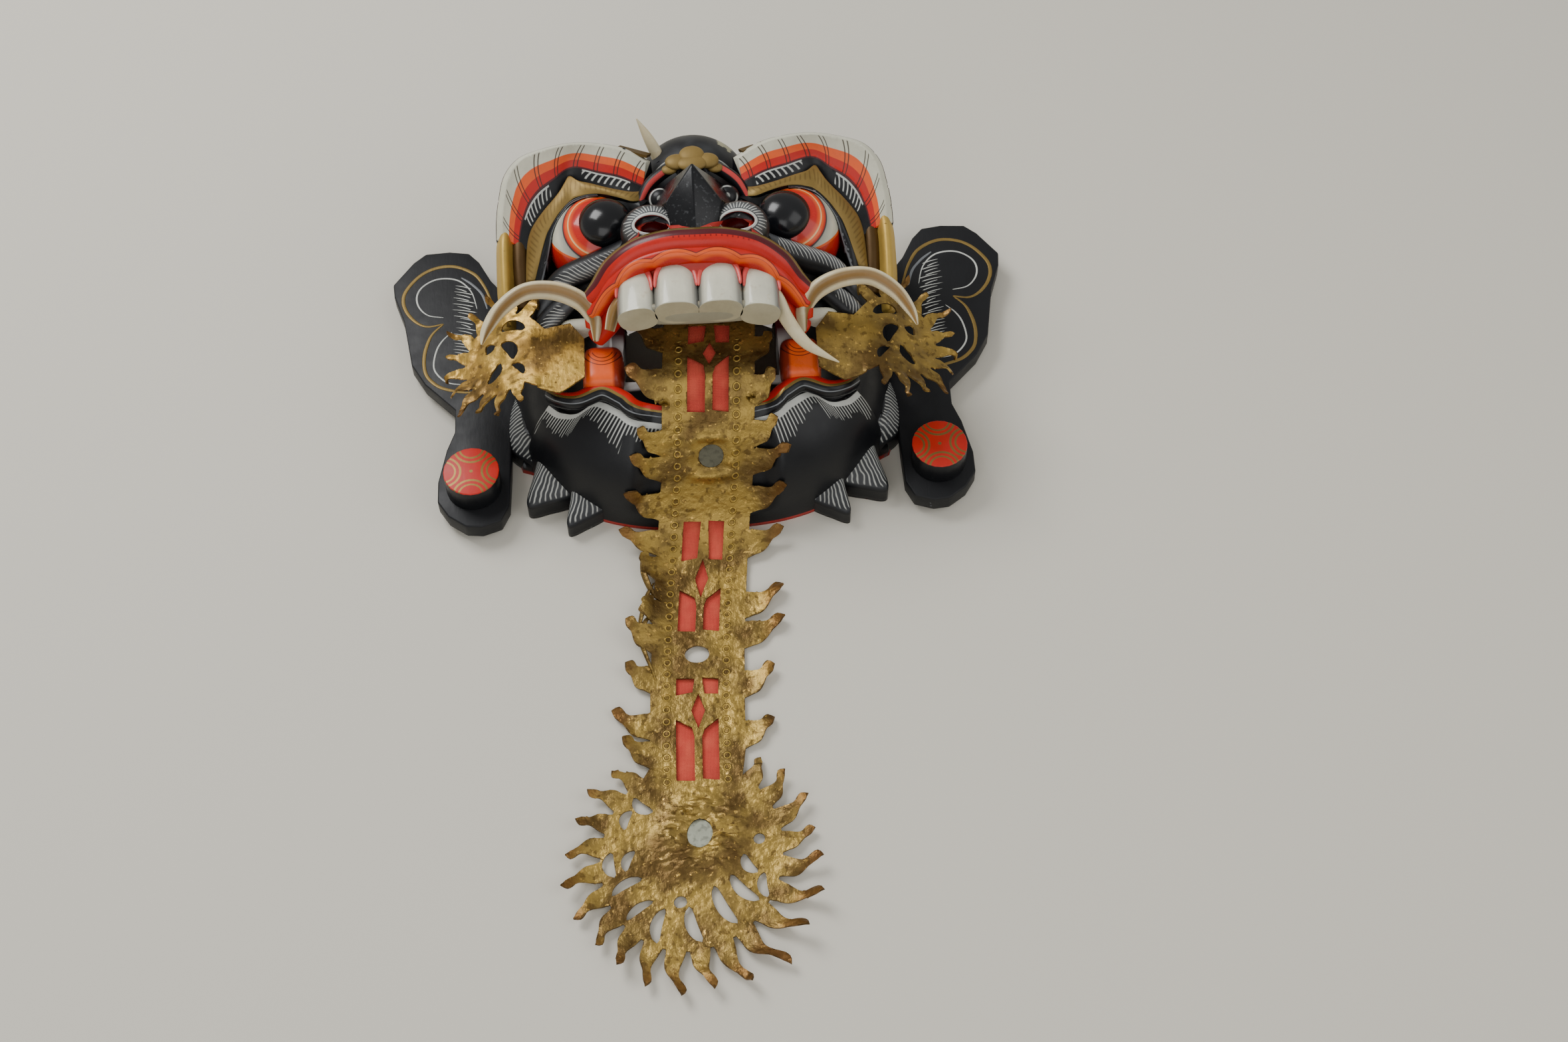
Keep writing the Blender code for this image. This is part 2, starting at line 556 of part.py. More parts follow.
def make_ear(label, side, face, collection, cutters, paint, disc_paint, root):
    """An ear board let into the face's side, with a grooved line and a round plug in its lobe."""
    seat = FACE_WIDTH / 2 - EAR_SEAT_DEPTH
    shift = EAR_STAGGER * side
    outline = [(x * UNIT, y * UNIT + shift) for x, y in EAR_OUTLINE]
    outline = [(seat + GAP, outline[0][1])] + outline + [(seat + GAP, outline[-1][1])]
    bm = flat_outline_mesh("ear", [[(x * side, y) for x, y in outline]], EAR_THICKNESS)
    middle = EAR_LIFT + EAR_THICKNESS / 2
    bmesh.ops.translate(bm, verts=bm.verts, vec=(0, 0, middle))
    finish_sheet(bm)
    ear = make_object("ear_" + label, bm, collection, paint, root)
    top = EAR_LIFT + EAR_THICKNESS
    line = [(x * side, y + shift / UNIT, (top + EAR_GROOVE * 0.4) / UNIT) for x, y in EAR_LINE]
    bm = bmesh.new()
    half = EAR_GROOVE / UNIT
    add_sweep(bm, line, (half,) * len(line), (half,) * len(line), (0, 0, 1), steps=18, sides=6)
    add_boolean(ear, make_object("ear_line_" + label, bm, cutters, parent=root))

    bm = bmesh.new()
    low, high = EAR_LIFT - GAP, EAR_LIFT + EAR_THICKNESS + GAP
    ends = (outline[-1][1] - GAP, outline[0][1] + GAP)
    corners = [Vector((x * side, y, z)) for x in (seat, FACE_WIDTH) for y in ends for z in (low, high)]
    add_hull(bm, corners)
    add_boolean(face, make_object("ear_seat_" + label, bm, cutters, parent=root))

    bm = bmesh.new()
    bmesh.ops.create_cone(bm, cap_ends=True, segments=24, radius1=PLUG_DIAMETER / 2,
                          radius2=PLUG_DIAMETER / 2, depth=PLUG_HEIGHT)
    plug = make_object("ear_plug_" + label, bm, collection, disc_paint, root)
    plug.location = (PLUG_CENTRE[0] * UNIT * side, PLUG_CENTRE[1] * UNIT + shift, top + GAP + PLUG_HEIGHT / 2)


def make_tusk(name, path, thickness, profile, face, collection, cutters, ivory, root, lobes=0.0, sides=8):
    """A tusk or horn standing in a socket of its own in the face."""
    half = [thickness / 2 / UNIT * share for share in profile]
    bm = bmesh.new()
    add_sweep(bm, path, half, half, (0.2, 0.1, 1), steps=9, sides=sides, lobes=lobes)
    tusk = make_object(name, bm, collection, ivory, root)
    bm = bmesh.new()
    before = Vector(path[0]) + (Vector(path[0]) - Vector(path[1])).normalized() * GAP / UNIT * 2
    longer = (tuple(before),) + tuple(path[1:])
    add_sweep(bm, longer, half, half, (0.2, 0.1, 1), steps=9, sides=sides, lobes=lobes, grow=2 * GAP)
    add_boolean(face, make_object(name + "_socket", bm, cutters, parent=root))
    return tusk


def make_crown_strips(face, collection, cutters, gilt, root):
    """The two torn leather ends left of the crown, each caught between a brow and the forehead."""
    places = (("left", (-37, 90, 118), 0.021, -22), ("right", (36, 89, 117), 0.010, 20))
    for label, spot, length, turn in places:
        facing = Matrix.Translation(carved(*spot)) @ Matrix.Rotation(math.radians(turn), 4, "Z") \
            @ Matrix.Rotation(math.radians(-38), 4, "X")
        for name, grow, target, paint in (("crown_leather_" + label, 0, collection, gilt),
                                          ("crown_slot_" + label, 2 * GAP, cutters, None)):
            bm = bmesh.new()
            bmesh.ops.create_cube(bm, size=1)
            size = (length + grow, CROWN_STRIP_WIDTH + grow, LEATHER * 0.8 + grow)
            bmesh.ops.scale(bm, verts=bm.verts, vec=size)
            bmesh.ops.transform(bm, matrix=facing, verts=bm.verts)
            strip = make_object(name, bm, target, paint, root)
            if paint is None:
                add_boolean(face, strip)


def make_tongue(face, collection, cutters, gilt, red_cloth, glass, root):
    """The pierced leather tongue with its red backing and two mirrors."""
    drape = Drape()
    seats = mirror_seats()
    holes = tongue_holes() + [circle(x, s, rx + GAP, ry + GAP, 16) for _, x, s, rx, ry in seats]
    bm = flat_outline_mesh("tongue", [tongue_outline()] + holes, LEATHER)
    bend_sheet(bm, drape, 0)
    make_object("tongue_leather", bm, collection, gilt, root)

    half = TONGUE_CLOTH_WIDTH / 2
    scale = flat_units()[0]
    first, last = 4 * scale, 314 * scale
    bm = flat_outline_mesh("cloth", [[(-half, first), (half, first), (half, last), (-half, last)]], CLOTH)
    bend_sheet(bm, drape, -CLOTH - CLOTH_DROP)
    make_object("tongue_cloth", bm, collection, red_cloth, root)

    for label, x, s, rx, ry in seats:
        bm = flat_outline_mesh("mirror", [circle(x, s, rx, ry, 16)], LEATHER * 0.6)
        bend_sheet(bm, drape, GAP)
        make_object("tongue_mirror_" + label, bm, collection, glass, root)

    left, right, floor, step = -1.05 * TONGUE_WIDTH, TONGUE_WIDTH, -GAP, -CLOTH - CLOTH_DROP - GAP
    clear = 5 * LEATHER
    section = ((left, floor), (-half - GAP, floor), (-half - GAP, step), (half + GAP, step),
               (half + GAP, floor), (right, floor), (right, clear), (left, clear))
    bm = bmesh.new()
    add_loft(bm, [[drape.place(across, along, height) for across, height in section]
                  for along in [-0.02] + drape.creases()])
    add_boolean(face, make_object("tongue_path", bm, cutters, parent=root))


def main():
    """Build the mask."""
    for thing in list(bpy.data.objects):
        bpy.data.objects.remove(thing)
    collection = bpy.data.collections.new("rangda_mask")
    cutters = bpy.data.collections.new("rangda_mask_cutters")
    for group in (collection, cutters):
        bpy.context.scene.collection.children.link(group)
    root = bpy.data.objects.new("rangda_mask_root", None)
    root.location = (0, FACE_CENTRE_Y, 0)
    collection.objects.link(root)

    black = make_material("painted_face", (0.03, 0.03, 0.035), 0.45)
    board = make_material("painted_ear", (0.03, 0.03, 0.035), 0.5)
    disc = make_material("painted_plug", (0.55, 0.03, 0.03), 0.45)
    ivory = make_material("boar_ivory", (0.75, 0.68, 0.46), 0.35)
    gilt = make_material("gilded_leather", (0.55, 0.36, 0.12), 0.4, 0.8)
    red_cloth = make_material("red_cloth", (0.68, 0.1, 0.08), 0.9)
    glass = make_material("old_mirror", (0.6, 0.6, 0.58), 0.15, 0.9)

    face = make_face(collection, cutters, black, root)
    for label, side in SIDES:
        make_ear(label, side, face, collection, cutters, board, disc, root)
        make_tusk("long_tusk_" + label, mirrored(LONG_TUSK_PATH, side), LONG_TUSK_THICKNESS,
                  (0.7, 0.95, 1.05, 1.05, 1, 0.9, 0.62, 0.1), face, collection, cutters, ivory, root,
                  lobes=0.12)
        bm = flat_outline_mesh("rosette", [rosette_outline()] + rosette_holes(), LEATHER)
        fold_rosette(bm, side)
        make_object("cheek_flame_" + label, bm, collection, gilt, root)
    make_tusk("short_tusk_right", SHORT_TUSK_PATH, SHORT_TUSK_THICKNESS, (0.9, 1, 1.05, 0.8, 0.1), face,
              collection, cutters, ivory, root)
    make_tusk("short_tusk_stump_left", STUMP_PATH, SHORT_TUSK_THICKNESS, (1.05, 1, 0.8), face, collection,
              cutters, ivory, root)
    make_tusk("forehead_horn_left", HORN_PATH, HORN_THICKNESS, (1, 1, 0.75, 0.1), face, collection, cutters,
              ivory, root)
    make_crown_strips(face, collection, cutters, gilt, root)
    make_tongue(face, collection, cutters, gilt, red_cloth, glass, root)
    seal = face.modifiers.new("seal", "WELD")
    seal.merge_threshold = 0.00005


main()
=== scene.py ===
"""The looks of a carved and painted rangda mask with boar tusks and a pierced gilt leather tongue.

The carving is laid out in carver's millimetres in the face's own frame: X across, Y to the forehead, Z out
of the face, with the face 250 wide. Each carved form carries two paint coordinates, "a" along it and "b"
across it, and its paint is laid on by them.
"""
import logging
import math
from dataclasses import dataclass
from enum import Enum
from typing import Callable, Optional, Sequence

import bmesh
import bpy
import numpy as np
from mathutils import Matrix, Vector, noise
from mathutils.bvhtree import BVHTree


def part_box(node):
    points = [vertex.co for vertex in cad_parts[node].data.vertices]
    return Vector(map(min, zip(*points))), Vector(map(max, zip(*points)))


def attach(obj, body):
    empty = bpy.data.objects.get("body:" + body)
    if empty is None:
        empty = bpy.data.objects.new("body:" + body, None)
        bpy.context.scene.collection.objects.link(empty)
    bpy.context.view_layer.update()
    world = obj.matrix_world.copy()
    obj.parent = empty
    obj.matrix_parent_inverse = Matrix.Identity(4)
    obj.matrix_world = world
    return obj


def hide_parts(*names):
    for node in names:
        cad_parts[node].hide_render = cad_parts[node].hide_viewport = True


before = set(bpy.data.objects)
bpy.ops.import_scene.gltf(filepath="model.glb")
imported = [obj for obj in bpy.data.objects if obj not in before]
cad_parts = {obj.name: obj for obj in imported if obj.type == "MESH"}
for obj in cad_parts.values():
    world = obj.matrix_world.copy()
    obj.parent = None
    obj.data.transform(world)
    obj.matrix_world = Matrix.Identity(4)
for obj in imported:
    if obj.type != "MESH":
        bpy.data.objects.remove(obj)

LOG = logging.getLogger("rangda_mask")
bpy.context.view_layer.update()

MM = 0.001
PLUG_Y = -91
FACE_CENTRE_Y = (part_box("ear_plug_left")[0][1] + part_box("ear_plug_left")[1][1]
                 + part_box("ear_plug_right")[0][1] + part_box("ear_plug_right")[1][1]) / 4 - PLUG_Y * MM
SIDES = (("left", -1), ("right", 1))

EYE = (62, 41, 88)
EYE_RADIUS = 31
PUPIL = (56, 36.5, 112.5)
DOME_RADII = (125, 120, 84)
DOME_POWER = 2.6
HOLLOWS = (((0, -2, -1), (112, 107, 71), 2.6), ((0, 4, 46), (46, 54, 66), 2.0),
           ((0, 40, 38), (94, 57, 62), 2.0))
TOOTH_CUT = -49.0

Points = Sequence[Sequence[float]]


class Ink(Enum):
    """The paints of the mask, as linear colours."""

    BLACK = (0.0055, 0.006, 0.0075)
    GREY = (0.17, 0.18, 0.19)
    WHITE = (0.55, 0.56, 0.52)
    CREAM = (0.60, 0.59, 0.47)
    RED = (0.50, 0.016, 0.009)
    ORANGE = (0.78, 0.105, 0.016)
    MAROON = (0.085, 0.010, 0.014)
    PINK = (0.66, 0.09, 0.08)
    YELLOW = (0.82, 0.55, 0.25)
    GOLD = (0.235, 0.155, 0.043)
    BRIGHT_GOLD = (0.50, 0.33, 0.072)
    DARK_GOLD = (0.075, 0.04, 0.011)
    WOOD = (0.30, 0.19, 0.10)
    IVORY = (0.66, 0.58, 0.38)
    TUSK_BROWN = (0.17, 0.085, 0.018)
    CLOTH = (0.62, 0.075, 0.05)


def tone_of(ink: "Ink | tuple") -> tuple:
    """The linear colour of an ink, or of a mixed tone that is given as one."""
    return ink.value if isinstance(ink, Ink) else ink


@dataclass(frozen=True)
class Finish:
    """How a coat of paint takes the light, and how worn it is."""

    roughness: float = 0.38
    metallic: float = 0.0
    coat: float = 0.0
    chips: float = 0.12
    grain: float = 0.35
    specular: float = 0.32
    chip_ink: Ink = Ink.GREY


SATIN = Finish()
GLOSS = Finish(roughness=0.20, chips=0.0, grain=0.15, specular=0.45)
GILT_PAINT = Finish(roughness=0.48, metallic=0.45, chips=0.35, grain=0.5, chip_ink=Ink.DARK_GOLD)
TUSK = Finish(roughness=0.36, coat=0.08, chips=0.0, grain=0.12)
HIDE = Finish(roughness=0.40, metallic=0.72, chips=0.7, grain=0.9, chip_ink=Ink.DARK_GOLD)


def flow(points: Points, share: np.ndarray) -> np.ndarray:
    """Places on a smooth curve through points.

    Args:
        points: The curve's own points.
        share: How far along each place lies, from 0 to 1.

    Returns:
        One row for each share.
    """
    rows = np.array(points, float)
    count = len(rows) - 1
    place = np.clip(share, 0, 1) * count
    at = np.minimum(place.astype(int), count - 1)
    w = (place - at)[:, None]
    a, b, c, d = (rows[np.clip(at + k, 0, count)] for k in (-1, 0, 1, 2))
    return b + 0.5 * w * (c - a + w * (2 * a - 5 * b + 4 * c - d + w * (3 * b - a - 3 * c + d)))


def unit(rows: np.ndarray) -> np.ndarray:
    """Rows brought to length one."""
    return rows / np.maximum(np.linalg.norm(rows, axis=-1, keepdims=True), 1e-9)


def length_along(places: np.ndarray) -> np.ndarray:
    """The way walked to each place of a line."""
    steps = np.linalg.norm(np.diff(places, axis=0), axis=1)
    return np.concatenate([[0.0], np.cumsum(steps)])


def to_side(points: Points, side: int) -> list:
    """The same points on the left (-1) or the right (1) of the face."""
    return [(p[0] * side, *p[1:]) for p in points]


def closed(rows: np.ndarray) -> np.ndarray:
    """Values round a ring, with the first one repeated at its end."""
    return np.concatenate([rows, rows[:, :1]], axis=1)


def vertex_rows(mesh: bpy.types.Mesh, kind: str = "co") -> np.ndarray:
    """One row of three numbers for each vertex.

    Args:
        mesh: The mesh to read.
        kind: What to read: "co" for places, "normal" for normals.

    Returns:
        The rows.
    """
    rows = np.empty(len(mesh.vertices) * 3)
    mesh.vertices.foreach_get(kind, rows)
    return rows.reshape(-1, 3)


def store(mesh: bpy.types.Mesh, name: str, values: np.ndarray, domain: str = "POINT") -> None:
    """Write a paint coordinate into a mesh, one number for each vertex or, with "CORNER", each corner."""
    layer = mesh.attributes.new(name, "FLOAT", domain)
    layer.data.foreach_set("value", np.asarray(values, np.float32))


def keep_out_of_hollow(places: np.ndarray, margin: float = 1.5) -> np.ndarray:
    """Move what reaches into the mask's hollow back into the wood.

    Args:
        places: Points in carver's millimetres.
        margin: How deep in the wood they end.

    Returns:
        The moved points.
    """
    for _ in range(3):
        for centre, radii, power in HOLLOWS:
            away = places - np.array(centre)
            reach = (np.abs(away / (np.array(radii) + margin)) ** power).sum(axis=-1) ** (1 / power)
            inside = (reach < 1) & (reach > 0.05)
            places[inside] = np.array(centre) + away[inside] / reach[inside][:, None]
    return places


@dataclass
class Form:
    """A carved form: rings of places from end to end, closed at both, with its paint coordinates."""

    name: str
    rings: np.ndarray
    along: np.ndarray
    across: np.ndarray
    ends: Optional[tuple] = None
    hollow: bool = True

    def build(self) -> bpy.types.Object:
        """Make the form's object, from a ball whose rings are moved into place.

        Returns:
            The object.
        """
        rings, along, across = self.rings, self.along, self.across
        levels, count = rings.shape[:2]
        if along.ndim == 1:
            along = np.repeat(along[:, None], count + 1, axis=1)
        if across.ndim == 1:
            across = np.repeat(across[None, :], levels, axis=0)
        if self.hollow:
            rings = keep_out_of_hollow(rings.reshape(-1, 3).copy()).reshape(rings.shape)
        first, last = self.ends or (rings[0].mean(axis=0), rings[-1].mean(axis=0))
        if turns_inward(rings, np.array(first), np.array(last)):
            order = (count - np.arange(count + 1)) % count
            rings = rings[:, order[:count]]
            along = along[:, ::-1]
            across = across[:, ::-1]
        bpy.ops.mesh.primitive_uv_sphere_add(segments=count, ring_count=levels + 1, radius=1)
        thing = bpy.context.object
        thing.name = self.name
        mesh = thing.data
        mesh.name = self.name
        spots = vertex_rows(mesh)
        level = np.rint(np.arccos(np.clip(spots[:, 2], -1, 1)) / math.pi * (levels + 1)).astype(int) - 1
        turn = np.rint(np.arctan2(spots[:, 1], spots[:, 0]) / math.tau * count).astype(int) % count
        inner = (level >= 0) & (level < levels)
        places = np.empty_like(spots)
        places[inner] = rings[level[inner], turn[inner]]
        places[level < 0] = first
        places[level >= levels] = last
        mesh.vertices.foreach_set("co", to_world(places).ravel())
        self.store_paint(mesh, level, turn, along, across)
        mesh.update()
        mesh.shade_smooth()
        return thing

    def store_paint(self, mesh: bpy.types.Mesh, level: np.ndarray, turn: np.ndarray, along: np.ndarray,
                    across: np.ndarray) -> None:
        """Write the paint coordinates on the mesh's corners, with the closing seam kept apart.

        Args:
            mesh: The form's mesh.
            level: Each vertex's ring.
            turn: Each vertex's place in its ring.
            along: Paint coordinate "a" for ring and place.
            across: Paint coordinate "b" for ring and place.
        """
        levels, count = along.shape[0], along.shape[1] - 1
        corner = np.empty(len(mesh.loops), int)
        mesh.loops.foreach_get("vertex_index", corner)
        starts = np.empty(len(mesh.polygons), int)
        mesh.polygons.foreach_get("loop_start", starts)
        sizes = np.diff(np.append(starts, len(corner)))
        face = np.repeat(np.arange(len(starts)), sizes)
        row, column = level[corner], turn[corner].copy()
        pole = (row < 0) | (row >= levels)
        real = np.where(pole, -1, column)
        highest = np.maximum.reduceat(real, starts)
        lowest = np.minimum.reduceat(np.where(pole, count, column), starts)
        closing = ((highest == count - 1) & (lowest == 0))[face]
        column = np.where(closing & (column == 0) & ~pole, count, column)
        borrowed = np.where(closing, count - 1, lowest[face])
        column = np.where(pole, borrowed, column)
        row = np.clip(row, 0, levels - 1)
        for name, values in (("a", along), ("b", across)):
            store(mesh, name, values[row, column], "CORNER")


def to_world(places: np.ndarray) -> np.ndarray:
    """Carver's millimetres to metres in the part's frame."""
    return places * MM + np.array((0.0, FACE_CENTRE_Y, 0.0))


def to_carver(spots: np.ndarray) -> np.ndarray:
    """Metres in the part's frame to carver's millimetres."""
    return (spots - np.array((0, FACE_CENTRE_Y, 0))) / MM


def turns_inward(rings: np.ndarray, first: np.ndarray, last: np.ndarray) -> bool:
    """Whether faces wound along these rings, as a ball's are, would look inwards.

    Args:
        rings: The rings of places.
        first: The closing point before them.
        last: The closing point after them.

    Returns:
        True where the rings have to be run the other way.
    """
    here, there = rings[:-1], rings[1:]
    beside = np.roll(here, -1, axis=1)
    beyond = np.roll(there, -1, axis=1)
    volume = (here * np.cross(there, beyond)).sum() + (here * np.cross(beyond, beside)).sum()
    start, stop = rings[0], rings[-1]
    volume += (first * np.cross(start, np.roll(start, -1, axis=0))).sum()
    volume += (last * np.cross(np.roll(stop, -1, axis=0), stop)).sum()
    return bool(volume < 0)


def roll(name: str, path: Points, widths: Sequence[float], heights: Sequence[float], up: Sequence[float],
         levels: int = 80, count: int = 32, lobes: float = 0.0, round_end: float = 0.03,
         hollow: bool = True) -> Form:
    """A bar of oval section along a smooth path.

    Args:
        name: The form's name.
        path: The points of its middle line.
        widths: Half widths along it.
        heights: Half heights along it.
        up: The way its height points.
        levels: How many rings it has.
        count: How many places each ring has.
        lobes: How far the section swells towards a triangle.
        round_end: The share of its length that each end takes to close.
        hollow: Whether it is kept out of the mask's hollow.

    Returns:
        The form, with "a" in millimetres along it and "b" in degrees round it.
    """
    share = np.linspace(0, 1, levels)
    centres = flow(path, share)
    ahead = unit(flow(path, share + 0.004) - flow(path, share - 0.004))
    side = unit(np.cross(ahead, np.array(up, float)))
    lift = np.cross(side, ahead)
    spans = np.maximum(flow(list(zip(widths, heights)), share), 0.05)
    edge = np.minimum(np.minimum(share, 1 - share) / round_end, 1)
    spans = spans * np.sqrt(np.maximum(1 - (1 - edge) ** 2, 0.004))[:, None]
    angle = np.linspace(0, math.tau, count, endpoint=False)
    swell = 1 + lobes * np.cos(3 * (angle - math.pi / 2))
    rings = (centres[:, None] + side[:, None] * (spans[:, :1] * np.cos(angle) * swell)[:, :, None]
             + lift[:, None] * (spans[:, 1:] * np.sin(angle) * swell)[:, :, None])
    return Form(name, rings, length_along(centres), np.linspace(0, 360, count + 1),
                (centres[0], centres[-1]), hollow)


def ball(name: str, centre: Sequence[float], radii: Sequence[float], power: float = 2.0,
         axis: Sequence[float] = (0, 0, 1), turn: Optional[Matrix] = None, levels: int = 40, count: int = 56,
         hollow: bool = True) -> Form:
    """A ball pulled to three radii, with its rings round an axis.

    Args:
        name: The form's name.
        centre: Its middle.
        radii: Its radii along X, Y and Z.
        power: Above 2 it squares the ball's shoulders.
        axis: Where the first ring lies, seen from the middle.
        turn: A turn of the whole form.
        levels: How many rings it has.
        count: How many places each ring has.
        hollow: Whether it is kept out of the mask's hollow.

    Returns:
        The form, with "a" in degrees round the axis and "b" in degrees from it.
    """
    away = np.linspace(0, math.pi, levels + 2)
    angle = np.linspace(0, math.tau, count, endpoint=False)
    main = Vector(axis).normalized()
    first = main.orthogonal().normalized() if abs(main.z) < 0.99 else Vector((1, 0, 0))
    second = main.cross(first)
    basis = np.array((first, second, main))
    ways = np.stack([np.outer(np.sin(away), np.cos(angle)), np.outer(np.sin(away), np.sin(angle)),
                     np.outer(np.cos(away), np.ones(count))], axis=-1) @ basis
    reach = (np.abs(ways) ** power).sum(axis=-1, keepdims=True) ** (-1 / power)
    places = ways * reach * np.array(radii, float)
    if turn:
        places = places @ np.array(turn).T
    places = places + np.array(centre, float)
    degrees = np.repeat(np.linspace(0, 360, count + 1)[None], levels, axis=0)
    from_axis = np.repeat(np.degrees(away[1:-1])[:, None], count + 1, axis=1)
    return Form(name, places[1:-1], degrees, from_axis, (places[0, 0], places[-1, 0]), hollow)


def strip(name: str, inner: Points, outer: Points, bulge: float = 0.0, skirt: Optional[Callable] = None,
          levels: int = 90, front: int = 20, sides: int = 4, depth: float = 14.0,
          hollow: bool = True) -> Form:
    """A band of surface between two curves, made a closed body by a skirt behind it.

    Args:
        name: The form's name.
        inner: The points of its first edge.
        outer: The points of its other edge.
        bulge: How far the middle stands out.
        skirt: Gives the points behind the band, from the outer edge round to the inner one.
        levels: How many rings it has.
        front: How many faces lie across the band.
        sides: How many faces each stretch of the skirt has.
        depth: How deep the skirt goes where none is given.
        hollow: Whether it is kept out of the mask's hollow.

    Returns:
        The form, with "a" in millimetres along it and "b" from 0 to 1 across the band and beyond it behind.
    """
    share = np.linspace(0, 1, levels)
    low, high = flow(inner, share), flow(outer, share)
    ahead = unit(flow(inner, share + 0.01) - flow(inner, share - 0.01))
    out = unit(np.cross(ahead, high - low))
    out = out * np.sign(out[:, 2:] + 1e-9)
    w = np.linspace(0, 1, front + 1)[None, :, None]
    band = low[:, None] * (1 - w) + high[:, None] * w + out[:, None] * bulge * 4 * w * (1 - w)
    if skirt:
        behind = skirt(low, high)
    else:
        drop = np.array((0, 0, -depth))
        behind = [high + drop, low + drop]
    corners = [high] + behind + [low]
    columns = [band[:, k] for k in range(front + 1)]
    across = list(np.linspace(0, 1, front + 1))
    for index, (here, there) in enumerate(zip(corners, corners[1:])):
        for k in range(1, sides + 1):
            columns.append(here + (there - here) * k / sides)
            across.append(1 + index + k / sides)
    rings = np.stack(columns[:-1], axis=1)
    return Form(name, rings, length_along((low + high) / 2), np.array(across), None, hollow)


class Wash:
    """A number that changes over a surface, as a socket in a material's node tree."""

    def __init__(self, tree: bpy.types.NodeTree, socket: bpy.types.NodeSocket) -> None:
        """Keep the tree and the socket."""
        self.tree = tree
        self.socket = socket

    def combine(self, operation: str, *others: "Wash | float") -> "Wash":
        """The result of a Math node on this number and others.

        Args:
            operation: The node's operation.
            others: The other numbers, in order.

        Returns:
            The result.
        """
        node = self.tree.nodes.new("ShaderNodeMath")
        node.operation = operation
        for place, value in zip(node.inputs, (self, *others)):
            if isinstance(value, Wash):
                self.tree.links.new(value.socket, place)
            else:
                place.default_value = value
        return Wash(self.tree, node.outputs[0])

    def __add__(self, other: "Wash | float") -> "Wash":
        """Sum."""
        return self.combine("ADD", other)

    def __sub__(self, other: "Wash | float") -> "Wash":
        """Difference."""
        return self.combine("SUBTRACT", other)

    def __mul__(self, other: "Wash | float") -> "Wash":
        """Product."""
        return self.combine("MULTIPLY", other)

    def __truediv__(self, other: "Wash | float") -> "Wash":
        """Quotient."""
        return self.combine("DIVIDE", other)

    def size(self) -> "Wash":
        """The number without its sign."""
        return self.combine("ABSOLUTE")

    def above(self, edge: "Wash | float", soft: float) -> "Wash":
        """1 where the number is over the edge, with a soft border.

        Args:
            edge: Where the border lies.
            soft: How wide the border is.

        Returns:
            A number from 0 to 1.
        """
        node = self.tree.nodes.new("ShaderNodeMapRange")
        self.tree.links.new((self - edge).socket, node.inputs["Value"])
        node.inputs["From Min"].default_value = -soft / 2
        node.inputs["From Max"].default_value = soft / 2
        return Wash(self.tree, node.outputs["Result"])

    def below(self, edge: "Wash | float", soft: float) -> "Wash":
        """1 where the number is under the edge, with a soft border."""
        return self.above(edge, soft) * -1 + 1

    def between(self, low: "Wash | float", high: "Wash | float", soft: float) -> "Wash":
        """1 from one edge to the other, with soft borders."""
        return self.above(low, soft) * self.below(high, soft)

    def near(self, edge: "Wash | float", half: "Wash | float", soft: float) -> "Wash":
        """1 within a half width of the edge: a line."""
        return (self - edge).size().below(half, soft)

    def strokes(self, spacing: float, duty: "Wash | float", soft: float = 0.12) -> "Wash":
        """1 on regular strokes, each a share of the spacing wide."""
        from_middle = ((self / spacing).combine("FRACT") - 0.5).size()
        return from_middle.below(duty * 0.5, soft)


